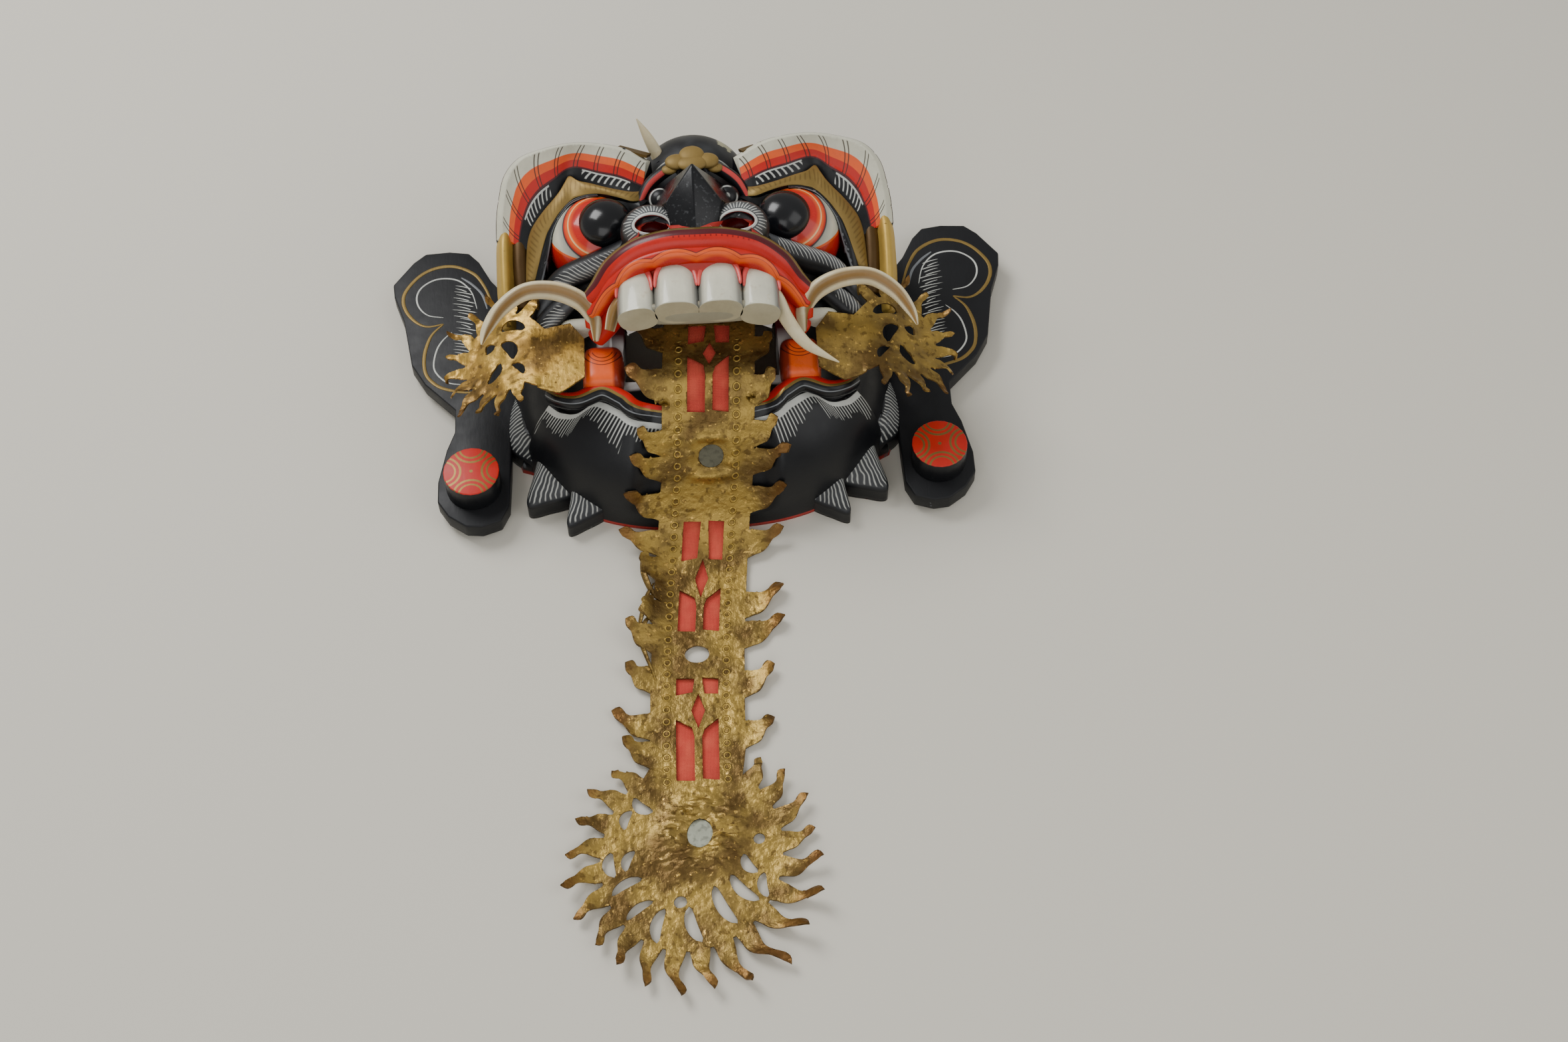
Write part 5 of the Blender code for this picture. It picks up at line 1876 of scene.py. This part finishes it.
def surface_of(things: list) -> BVHTree:
    """The surface of pieces, to lay others on.

    The faces are sorted by their places, because the order in which Blender makes a ball's faces changes from
    run to run, and a point that lies equally near two faces would then settle on either.

    Args:
        things: The pieces.

    Returns:
        Their faces as a search tree.
    """
    loops = []
    for thing in things:
        spots = [tuple(thing.matrix_world @ v.co) for v in thing.data.vertices]
        for polygon in thing.data.polygons:
            corners = [spots[index] for index in polygon.vertices]
            first = corners.index(min(corners))
            loops.append(corners[first:] + corners[:first])
    loops.sort()
    verts = [corner for corners in loops for corner in corners]
    numbers = iter(range(len(verts)))
    faces = [[next(numbers) for _ in corners] for corners in loops]
    return BVHTree.FromPolygons(verts, faces)


def rest_on(places: np.ndarray, tree: BVHTree, margin: float) -> np.ndarray:
    """Push points that dip into a surface back over it.

    Args:
        places: The points in carver's millimetres.
        tree: The surface.
        margin: How far over it they end, in millimetres.

    Returns:
        The moved points.
    """
    for _ in range(2):
        for index, spot in enumerate(to_world(places)):
            near, normal, _, _ = tree.find_nearest(Vector(spot), 0.02)
            if near is not None and (Vector(spot) - near).dot(normal) < margin * MM and normal.z > -0.2:
                moved = near + normal * margin * MM
                places[index] = to_carver(np.array(moved))
    return places


@dataclass
class Tongue:
    """The pierced gilt leather tongue with its flaming roundel, its red cloth and its mirrors."""

    half: float = 28.5
    radius: float = 53.0
    tall: float = 1.12
    centre: tuple = (-4, 355)
    cloth_half: float = 17.0
    cloth_run: tuple = (0.5, 310.5)
    cloth_hole: float = 9.5
    lost_mirror: tuple = (-0.6, 223)
    left_tips: Points = ((-48, 3), (-52, 33), (-45, 68), (-49, 84), (-52, 110), (-54, 135), (-40, 152),
                         (-34, 184), (-46, 203), (-45, 230), (-53, 262), (-46, 280))
    right_tips: Points = ((40, 12), (42, 38), (44, 64), (52, 82), (51, 108), (51, 138), (53, 181), (54, 202),
                          (48, 236), (47, 270))
    strips: tuple = (
        ((-38, 150, 2), (-37, 160, 5), (-35, 168, 7), (-31, 177, 6), (-26, 183, 4), (-20, 187, 2.5)),
        ((-29, 172, 4), (-32, 180, 6), (-33, 187, 7), (-35, 195, 6), (-36, 202, 4), (-34, 209, 2)),
        ((-24, 195, 4), (-31, 198, 6), (-34, 205, 7), (-35, 213, 6), (-31, 225, 5), (-25, 240, 2.5)))
    flames: tuple = (16, 20, 19, 21, 24, 22, 20, 21, 24, 27, 25, 30, 34, 30, 29, 24, 20, 22, 19, 16)
    crescents: Points = ((-50, 359, 16, 7, 80), (-40, 357, 14, 6, 110), (-41, 373, 20, 6, 150),
                         (-33, 388, 19, 5.5, 143), (-21, 398, 22, 7, 100), (-1, 398, 24, 7, 70),
                         (16, 387, 28, 7, 60), (27, 377, 24, 7, 45), (30, 362, 15, 6.5, 55),
                         (39, 376, 16, 6, 82), (-33, 322, 15, 7, 40), (-42, 331, 13, 6, 110))

    def roots(self, tips: Points, index: int) -> tuple:
        """Where a side flame springs from the strip, clear of its neighbours.

        Args:
            tips: The tips of that side's flames.
            index: Which of them it is.

        Returns:
            Both ends of its root.
        """
        low, high = (tips[index][1] + lag for lag in (-0.4, 18.4))
        if index > 0:
            low = max(low, (tips[index - 1][1] + tips[index][1]) / 2 + 9.4)
        if index < len(tips) - 1:
            high = min(high, (tips[index + 1][1] + tips[index][1]) / 2 + 8.6)
        return low, high

    def outline(self) -> list:
        """The tongue's flat edge.

        Returns:
            The edge's points.
        """
        points = [(-self.half, -2.0)]
        for index, (t, s) in enumerate(self.left_tips):
            low, high = self.roots(self.left_tips, index)
            points += flame((-self.half, low), (-self.half, high), (t, s), 0.10 if index % 2 else 0.15)
        neck = math.asin(self.half / self.radius)
        start, end = math.pi / 2 + neck, math.tau + math.pi / 2 - neck
        step = (end - start) / len(self.flames)
        cx, cy = self.centre
        for k, length in enumerate(self.flames):
            a0, a1, peak = (start + (k + part) * step for part in (0, 0.86, 0.62))
            roots = [(cx + math.cos(a) * self.radius, cy - math.sin(a) * self.tall * self.radius)
                     for a in (a0, a1)]
            reach = self.radius + length
            tip = (cx + math.cos(peak) * reach, cy - math.sin(peak) * 1.1 * reach)
            points += flame(roots[0], roots[1], tip, -0.12 if k % 3 else -0.18)
        for index in range(len(self.right_tips) - 1, -1, -1):
            low, high = self.roots(self.right_tips, index)
            points += flame((self.half, high), (self.half, low), self.right_tips[index],
                            -0.10 if index % 2 else -0.15)
        return points + [(self.half, -2.0)]

    def holes(self) -> list:
        """Windows, crescents, small rounds and the mirrors' openings.

        Returns:
            Each hole's points.
        """
        loops = []
        for top, middle, low, end in ((2, 18, 28, 58), (130, 158, 180, 207), (239, 252, 270, 308)):
            for inner, outer, lag in ((-2.0, -13.0, 0), (2.6, 12.6, 1.1)):
                loops.append([(outer, top + lag), (inner, top + 0.5 - lag / 2),
                              (inner * 1.6, middle - 3 + lag), (outer, middle - 1.4)])
                loops.append([(outer, low - 3), (inner * 1.6, low + 3 + lag), (inner, low + 9),
                              (inner, end - lag), (outer, end - 0.7 + lag)])
            centre, tall = (middle + low) / 2 + 0.5, (low - middle) / 2 + 3
            loops.append([(0.4, centre - tall), (4.6, centre), (0.4, centre + tall), (-3.8, centre)])
        loops += [crescent(*row) for row in self.crescents]
        loops += [ring_of(-10, 384, 3.8, 3.8), ring_of(35, 347, 3.4, 3.4), ring_of(*self.lost_mirror, 7.5, 6)]
        loops += [ring_of(2.2, 86, 8, 8), ring_of(0.2, 342, 8, 9.6)]
        return loops

    def beyond(self, x: np.ndarray, s: np.ndarray) -> np.ndarray:
        """How far a point lies out in the flames, in millimetres.

        Args:
            x: Places across the flat leather.
            s: Places along it.

        Returns:
            A distance for each place.
        """
        strip_side = np.abs(x) - self.half
        disc = np.hypot(x - self.centre[0], (s - self.centre[1]) / self.tall) - self.radius
        return np.maximum(np.minimum(np.where(s < 312, strip_side, 99), np.where(s > 290, disc, 99)), 0)

    def relief(self, x: np.ndarray, s: np.ndarray) -> np.ndarray:
        """The crumples, the frames of the mirrors and the curl of the flames.

        Args:
            x: Places across the flat leather.
            s: Places along it.

        Returns:
            A height for each place.
        """
        height = 0.5 * (1 + ripple(x, s, 26, 1)) + 0.45 * (1 + ripple(x, s, 9, 2))
        height = height + 0.25 * ripple(x, s, 4, 3)
        far = np.hypot(x - 0.2, s - 342)
        lumps = np.clip((30 - far) / 12, 0, 1) * np.clip((far - 8) / 4, 0, 1)
        height += lumps * (1.2 + 4.6 * np.abs(ripple(x, s, 7, 4)) + 1.2 * ripple(x, s, 3, 6))
        boss = (np.abs((x - 2.2) / 1.05) ** 4 + np.abs(s - 86) ** 4) ** 0.25
        height += 2.6 * np.exp(-((boss - 13) / 3.0) ** 2) * (0.75 + 0.5 * ripple(x, s, 8, 7))
        out = self.beyond(x, s)
        height += out ** 1.5 * 0.07 * np.clip(0.35 + ripple(x, s, 16, 5), 0, 1)
        torn = np.exp(-((s - 190) / 34) ** 2) * np.clip((-13 - x) / 14, 0, 1.4) ** 2
        height += torn * 4.5
        disc = np.hypot(x - self.centre[0], s - self.centre[1])
        height += np.clip((disc - 30) / 40, 0, 1.5) ** 2 * 1.6 * (s > 300)
        return np.maximum(height, 0.05) + self.lift(s)

    def lift(self, s: np.ndarray) -> np.ndarray:
        """How far the tongue is held up inside the mouth, in millimetres."""
        return 6.0 * np.clip((50 - s) / 12, 0, 1)

    def cloth_coat(self) -> bpy.types.Material:
        """Coral red cotton with its weave.

        Returns:
            The material.
        """
        coat = Coat("red_cotton", Ink.CLOTH, Finish(roughness=0.9, chips=0, grain=0.4))
        a, b = coat.attribute("a"), coat.attribute("b")
        warp, weft = a.strokes(0.9, 0.62, 0.5), b.strokes(0.9, 0.62, 0.5)
        weave = warp * 0.5 + weft * 0.5
        coat.lay(weave.below(0.6, 0.5), (0.36, 0.025, 0.02), 0.6)
        coat.lay(coat.speckle(70, 4).above(0.55, 0.2), (0.70, 0.12, 0.07), 0.5)
        return coat.done(weave, 0.0003)

    def cloth(self, drape: Drape, tree: BVHTree) -> bpy.types.Object:
        """The cloth strip behind the windows, woven flat and laid along the drape.

        Args:
            drape: The curve that it follows.
            tree: The face's surface under it.

        Returns:
            The piece.
        """
        start, stop = self.cloth_run
        columns, rows = 24, 210
        bpy.ops.mesh.primitive_grid_add(x_subdivisions=columns, y_subdivisions=rows, size=2)
        thing = bpy.context.object
        thing.name = "red_cloth_strip"
        mesh = thing.data
        spots = vertex_rows(mesh)
        x, s = spots[:, 0] * self.cloth_half, start + (spots[:, 1] + 1) / 2 * (stop - start)
        height = -0.95 + 0.12 * ripple(x, s, 12, 8)
        places = drape.place(x, s, height + self.lift(s))
        lying = s > Hide.rests_from
        places[lying] = rest_on(places[lying], tree, 0.1)
        places[:, 2] = np.maximum(places[:, 2], 0.1)
        mesh.vertices.foreach_set("co", to_world(places).ravel())
        for name, values in (("a", s), ("b", x)):
            store(mesh, name, values)
        bm = bmesh.new()
        bm.from_mesh(mesh)
        away = np.hypot(x - self.lost_mirror[0], s - self.lost_mirror[1])
        middle = [face for face in bm.faces if sum(away[v.index] for v in face.verts) < 4 * self.cloth_hole]
        bmesh.ops.delete(bm, geom=middle, context="FACES")
        bm.to_mesh(mesh)
        bm.free()
        mesh.flip_normals()
        thick = thing.modifiers.new("thick", "SOLIDIFY")
        thick.thickness = 0.6 * MM
        thick.offset = 1
        bpy.ops.object.modifier_apply(modifier="thick")
        mesh.shade_smooth()
        dress(thing, self.cloth_coat())
        return thing

    def mirror_coat(self, name: str, ground: tuple) -> bpy.types.Material:
        """An old mirror, clouded and spotted.

        Args:
            name: The material's name.
            ground: The glass's tone, which carries a painted reflection.

        Returns:
            The material.
        """
        coat = Coat(name, ground, Finish(roughness=0.22, metallic=0.35, chips=0, grain=0.02, specular=0.5))
        coat.lay(coat.speckle(300, 4).above(0.58, 0.16), tuple(0.5 * tone for tone in ground), 0.7)
        return coat.done()

    def torn_strips(self, drape: Drape) -> list:
        """Thin strips torn loose along the left edge, curled over the sheet.

        Args:
            drape: The curve that they follow.

        Returns:
            The strips.
        """
        strips = []
        for index, path in enumerate(self.strips):
            rows = drape.place(*np.array(path, float).T)
            thing = roll("torn_strip_%d" % index, rows, (0.6, 1.6, 2.1, 1.8, 1.3, 0.5), (0.4,) * 6,
                         (-0.5, 0, 1), 70, 8, hollow=False).build()
            for name in ("a", "b"):
                thing.data.attributes.remove(thing.data.attributes[name])
            strips.append(thing)
        return strips

    def build(self, ground: list) -> None:
        """Lay the cloth, the leather over it, and polish the mirrors.

        Args:
            ground: The pieces of the face that the tongue rests on.
        """
        tree = surface_of(ground)
        drape = Drape()
        cloth = self.cloth(drape, tree)
        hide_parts("tongue_cloth")
        hide = Hide("gilt_tongue", self.outline(), self.holes(), self.relief, drape.place, self.beyond,
                    rests=tree, margin=1.3)
        leather = leather_coat("gilt_leather", Ink.GOLD, True)
        tongue = hide.build(leather)
        strips = self.torn_strips(drape)
        for thing in strips:
            thing.data.materials.append(leather)
        tongue = join("gilt_tongue", [tongue, *strips])
        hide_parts("tongue_leather")
        # Painted reflection: the mirrors' tones, pale for the lower one and dark for the upper one, copy what
        # each reflects; the finish's metal reflects the room besides.
        for place, tone in (("upper", (0.13, 0.125, 0.085)), ("lower", (0.46, 0.48, 0.38))):
            node = "tongue_mirror_" + place
            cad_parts[node].data.materials[0] = self.mirror_coat(node, tone)


@dataclass
class Rosettes:
    """The pierced leather rosettes at the corners of the mouth, and the torn ends of the crown."""

    radius: float = 29.0
    fold: tuple = (105, -40, 89)

    def outline(self) -> list:
        """A round of flames with the plate that carries it.

        Returns:
            The edge's points.
        """
        centre = np.array((0.6 * self.radius, 0))
        points = []
        flames = 12
        start, end = -0.66 * math.pi, 0.72 * math.pi
        step = (end - start) / flames
        for k in range(flames):
            a0, a1, peak = (start + (k + part) * step for part in (0, 0.84, 0.66))
            reach = self.radius * (1.66 if k % 2 else 1.5)
            roots = [centre + np.array((math.cos(a), math.sin(a))) * self.radius for a in (a0, a1)]
            tip = centre + np.array((math.cos(peak), math.sin(peak))) * reach
            points += flame(roots[0], roots[1], tip, 0.16 if k % 2 else 0.1)
        plate = ((-0.31, 0.46), (-0.85, 0.58), (-1.15, 0.15), (-1.15, -0.85), (-0.62, -1.23), (-0.27, -1.12))
        return points + [np.array(p) * self.radius for p in plate]

    def holes(self) -> list:
        """Its pierced eyes.

        Returns:
            Each hole's points.
        """
        share = self.radius / 50
        shapes = ((19, 29, 29, 13, 10), (50, 12, 13, 12, 90), (25, 2, 29, 13, 60), (42, -21, 27, 12, 125),
                  (13, -25, 21, 8, 50))
        return [crescent(*(value * share for value in shape[:4]), shape[4]) for shape in shapes]

    def beyond(self, x: np.ndarray, y: np.ndarray) -> np.ndarray:
        """How far a point lies out in the flames."""
        return np.where(x > -4, np.maximum(np.hypot(x - 0.6 * self.radius, y) - self.radius, 0), 0)

    def relief(self, x: np.ndarray, y: np.ndarray) -> np.ndarray:
        """Crumples and curled tips.

        Args:
            x: Places across the flat rosette.
            y: Places along it.

        Returns:
            A height for each place.
        """
        disc = np.clip((x + 2) / 10, 0, 1)
        crumple = 1.1 * ripple(x, y, 11, 11) + 0.7 * ripple(x, y, 5, 12)
        height = 0.4 + disc * crumple + 0.3 * ripple(x, y, 14, 13)
        out = self.beyond(x, y)
        return height + out ** 1.4 * 0.16 * (0.4 + ripple(x, y, 9, 14))

    def placer(self, side: int) -> Callable:
        """Lays the flat rosette: level at the mouth's corner, then sloping down over the ear.

        Args:
            side: -1 on the left, 1 on the right.

        Returns:
            A function from flat places and heights to carver's millimetres.
        """
        run = np.linspace(-40, 60, 501)
        slope = np.radians(np.interp(run, (-3, 4, 11, 18), (0, 16, 16, 30)))
        step = run[1] - run[0]
        out, down = np.cumsum(np.cos(slope)) * step, np.cumsum(np.sin(slope)) * step
        out, down = out - np.interp(0, run, out), down - np.interp(0, run, down)

        def place(x: np.ndarray, y: np.ndarray, height: np.ndarray) -> np.ndarray:
            """Where points of the flat rosette come to lie.

            Args:
                x: Places across the flat rosette.
                y: Places along it.
                height: Heights above its underside.

            Returns:
                The places in carver's millimetres.
            """
            lean = np.interp(x, run, slope)
            px = self.fold[0] + np.interp(x, run, out) + height * np.sin(lean)
            pz = self.fold[2] - np.interp(x, run, down) + height * np.cos(lean)
            return np.stack([px * side, self.fold[1] + y, pz], -1)

        return place

    def build(self) -> None:
        """Both rosettes, bright on the left and browner on the right."""
        for label, side in SIDES:
            ground = (0.40, 0.235, 0.05) if side < 0 else Ink.GOLD
            hide = Hide("gilt_rosette_" + label, self.outline(), self.holes(), self.relief, self.placer(side),
                        self.beyond, step=1.6)
            thing = hide.build(leather_coat("gilt_rosette_" + label, ground, False))
            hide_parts("cheek_flame_" + label)
        scrap = Coat("crown_leather", Ink.GOLD, HIDE).done()
        for label, _ in SIDES:
            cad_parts["crown_leather_" + label].data.materials[0] = scrap


@dataclass
class Ears:
    """Flat ear boards with painted lines and feathers, and the round plugs in their lobes."""

    top: float = 17.0
    bottom: float = 5.0
    stagger: float = 2.0
    plug_radius: float = 17.5
    outline: Points = ((118.3, 65), (132, 65), (138, 73), (146, 89), (153, 97), (166, 99), (182, 98),
                       (190, 91), (203, 73), (202, 63), (195, 42), (189, 6), (180, -10), (160, -31),
                       (160, -48), (165, -62), (170, -86), (170, -101), (163, -112), (152, -120), (142, -121),
                       (130, -117), (125, -106), (124, -80), (124, -44), (118.3, -44))
    gold_upper: Points = ((136, 50), (137.4, 54.8), (142.3, 68), (149.4, 79), (162, 85.9), (174.5, 85.4),
                          (185.4, 79.3), (194.1, 67.6), (195.9, 58), (192.9, 48.5), (186.5, 40.4),
                          (178.9, 36.7), (168.7, 38.5))
    gold_lower: Points = ((168.7, 38.5), (176, 30.4), (179.6, 20.5), (181, 10.5), (180, 0), (176.4, -7),
                          (168.8, -13.4), (155, -17.6), (146, -17.6))
    white_upper: Points = ((146.9, 49.3), (150.6, 63.3), (157.6, 72.5), (166, 76), (175.6, 75.3),
                           (183.8, 69.6), (187, 62), (185.4, 53.2), (179.1, 46), (168.8, 43.7))
    grey_upper: Points = ((140.1, 48.9), (143.6, 61.2), (150.6, 70.3), (158, 76.5))
    white_lower: Points = ((163.1, 31.4), (169.1, 24.9), (173, 16.7), (174.6, 4.7), (171.7, -3),
                           (164.7, -9.5), (154, -11.6))

    def board(self, label: str, side: int) -> bpy.types.Object:
        """The board with its softened edges.

        Args:
            label: The side's name.
            side: -1 on the left, 1 on the right.

        Returns:
            The object.
        """
        shift = self.stagger * side
        bpy.ops.mesh.primitive_plane_add(size=0.01)
        thing = bpy.context.object
        thing.name = "ear_board_" + label
        bm = bmesh.new()
        rows = np.array([(x * side, y + shift, self.bottom) for x, y in self.outline])
        face = bm.faces.new([bm.verts.new(p) for p in to_world(rows)])
        lifted = bmesh.ops.extrude_face_region(bm, geom=[face])["geom"]
        bmesh.ops.translate(bm, verts=[g for g in lifted if isinstance(g, bmesh.types.BMVert)],
                            vec=(0, 0, (self.top - self.bottom) * MM))
        bmesh.ops.recalc_face_normals(bm, faces=bm.faces[:])
        bm.to_mesh(thing.data)
        bm.free()
        bevel = thing.modifiers.new("edge", "BEVEL")
        bevel.width = 0.0011
        bevel.segments = 3
        bpy.ops.object.modifier_apply(modifier="edge")
        bpy.ops.object.shade_smooth_by_angle(angle=math.radians(30))
        return thing

    def line(self, name: str, path: Points, half: float, side: int, thin_end: float = 0.5) -> Form:
        """A painted line as a thin raised bar on the board.

        Args:
            name: The line's name.
            path: Its points, on the right side.
            half: Half of how wide it is.
            side: -1 on the left, 1 on the right.
            thin_end: How wide its ends are, as a share.

        Returns:
            The form.
        """
        rows = [(x * side, y + self.stagger * side, self.top) for x, y in path]
        return roll(name, rows, (half * thin_end, half, half, half, half * thin_end), (0.22,) * 5, (0, 0, 1),
                    max(10, len(path) * 8), 8, hollow=False)

    def feathers(self, label: str, side: int) -> list:
        """Short tapered strokes, side by side.

        Args:
            label: The side's name.
            side: -1 on the left, 1 on the right.

        Returns:
            Their forms.
        """
        forms = []
        for k in range(25):
            y = 70 - 2.5 * k
            near = 149 + 2.2 * math.sin(k * 2.1) + 3 * math.exp(-((y - 66) / 6) ** 2)
            far = 162 + 1.8 * math.sin(k * 3.3) - 3 * math.exp(-((y - 38) / 7) ** 2)
            rows = [(x * side, h + self.stagger * side, self.top)
                    for x, h in ((near, y - 3.4), ((near + far) / 2, y - 1.3), (far, y))]
            forms.append(roll("feather_%s_%d" % (label, k), rows, (0.42, 0.36, 0.08), (0.18,) * 3,
                              (0, 0, 1), 9, 8, hollow=False))
        return forms

    def plug_coat(self, centre: tuple, high: float) -> bpy.types.Material:
        """A red disc with pairs of gold arcs at its four sides, black round its edge.

        Args:
            centre: The plug's middle, in carver's millimetres.
            high: The height of its top.

        Returns:
            The material.
        """
        coat = Coat("plug", Ink.BLACK)
        x, y, z = coat.coordinates()
        x, y = x - centre[0], y - centre[1]
        disc = z.above(high - 0.7, 0.2)
        coat.lay(disc, Ink.RED)
        arcs: Optional[Wash] = None
        for cx, cy in ((1, 0), (-1, 0), (0, 1), (0, -1)):
            dx, dy = x - cx * self.plug_radius, y - cy * self.plug_radius
            far = (dx * dx + dy * dy).combine("SQRT")
            pair = far.near(10.8, 0.72, 0.4) + far.near(7.6, 0.62, 0.4)
            arcs = pair if arcs is None else arcs.combine("MAXIMUM", pair)
        dot = (x * x + y * y).combine("SQRT").below(1.1, 0.3)
        coat.gild(arcs.combine("MAXIMUM", dot).combine("MINIMUM", 1.0) * disc, Ink.GOLD)
        return coat.done()

    def build(self) -> None:
        """Both ears and plugs."""
        black = Coat("ear_black", Ink.BLACK, Finish(roughness=0.5, chips=0.15, grain=0.6)).done()
        gold = Coat("ear_gold", Ink.GOLD, GILT_PAINT).done()
        white = Coat("ear_white", Ink.WHITE).done()
        grey = Coat("ear_grey", Ink.GREY).done()
        for label, side in SIDES:
            parts = [(self.board(label, side), black)]
            for name, path, half, paint in (("gold_upper_", self.gold_upper, 1.25, gold),
                                            ("gold_lower_", self.gold_lower, 1.25, gold),
                                            ("white_upper_", self.white_upper, 0.6, white),
                                            ("white_lower_", self.white_lower, 0.6, white),
                                            ("grey_upper_", self.grey_upper, 0.9, grey)):
                parts.append((self.line(name + label, path, half, side), paint))
            parts += [(form, white) for form in self.feathers(label, side)]
            ear = wooden("ear_painted_" + label, parts)
            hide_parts("ear_" + label)
            plug = merged_copy("ear_plug_" + label, "plug_" + label)
            plug.matrix_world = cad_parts["ear_plug_" + label].matrix_world
            low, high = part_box("ear_plug_" + label)
            centre = tuple((low[k] + high[k]) / 2 / MM for k in (0, 1))
            take_up(plug)
            bevel = plug.modifiers.new("edge", "BEVEL")
            bevel.width = 0.0007
            bevel.segments = 3
            bevel.limit_method = "ANGLE"
            bevel.angle_limit = math.radians(50)
            bpy.ops.object.modifier_apply(modifier="edge")
            bpy.ops.object.shade_smooth_by_angle(angle=math.radians(30))
            coat = self.plug_coat((centre[0], centre[1] - FACE_CENTRE_Y / MM), high[2] / MM)
            dress(plug, coat)
            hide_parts("ear_plug_" + label)


def studio() -> None:
    """A pale floor, soft light and the camera at the photograph's angle."""
    bpy.ops.mesh.primitive_plane_add(size=4, location=(0, 0, 0))
    floor = bpy.context.object
    floor.name = "floor"
    material = bpy.data.materials.new("floor_paper")
    material.use_nodes = True
    shader = material.node_tree.nodes["Principled BSDF"]
    shader.inputs["Base Color"].default_value = (0.66, 0.63, 0.55, 1)
    shader.inputs["Roughness"].default_value = 0.9
    floor.data.materials.append(material)

    camera_data = bpy.data.cameras.new("camera")
    camera_data.lens = 53.4
    camera_data.sensor_width = 36
    camera = bpy.data.objects.new("camera", camera_data)
    bpy.context.scene.collection.objects.link(camera)
    camera.location = (0.00222, -0.89849 + FACE_CENTRE_Y, 1.24968)
    camera.rotation_euler = (math.radians(32), 0, math.radians(-3.3))
    bpy.context.scene.camera = camera

    for name, place, size, power in (("window", (-0.9, 0.9, 1.5), 0.9, 27),
                                     ("fill", (1.3, -0.5, 1.3), 1.4, 9),
                                     ("front", (-0.3, -1.3, 1.2), 1.2, 8)):
        lamp = bpy.data.lights.new(name, "AREA")
        lamp.size = size
        lamp.energy = power
        thing = bpy.data.objects.new(name, lamp)
        bpy.context.scene.collection.objects.link(thing)
        thing.location = place
        thing.rotation_euler = (Vector((0, 0.05, 0.05)) - Vector(place)).to_track_quat("-Z", "Y").to_euler()
    world = bpy.data.worlds.new("room")
    world.use_nodes = True
    world.node_tree.nodes["Background"].inputs["Color"].default_value = (1.0, 0.985, 0.95, 1)
    world.node_tree.nodes["Background"].inputs["Strength"].default_value = 0.45
    bpy.context.scene.world = world


def write_sizes() -> None:
    """Bring the view layer up to date."""
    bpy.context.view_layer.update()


def main() -> None:
    """Build every part of the mask in order."""
    logging.basicConfig(level=logging.INFO, format="%(message)s")
    clear_selection()
    studio()
    block = Carcass().build()
    Brows().build()
    Eyes().build()
    Nose().build()
    UpperJaw().build()
    jaw = LowerJaw().build()
    Temples().build()
    Tusks().build()
    Ears().build()
    Rosettes().build()
    Tongue().build([jaw, block])
    clear_selection()
    write_sizes()


if __name__ == "__main__":
    main()
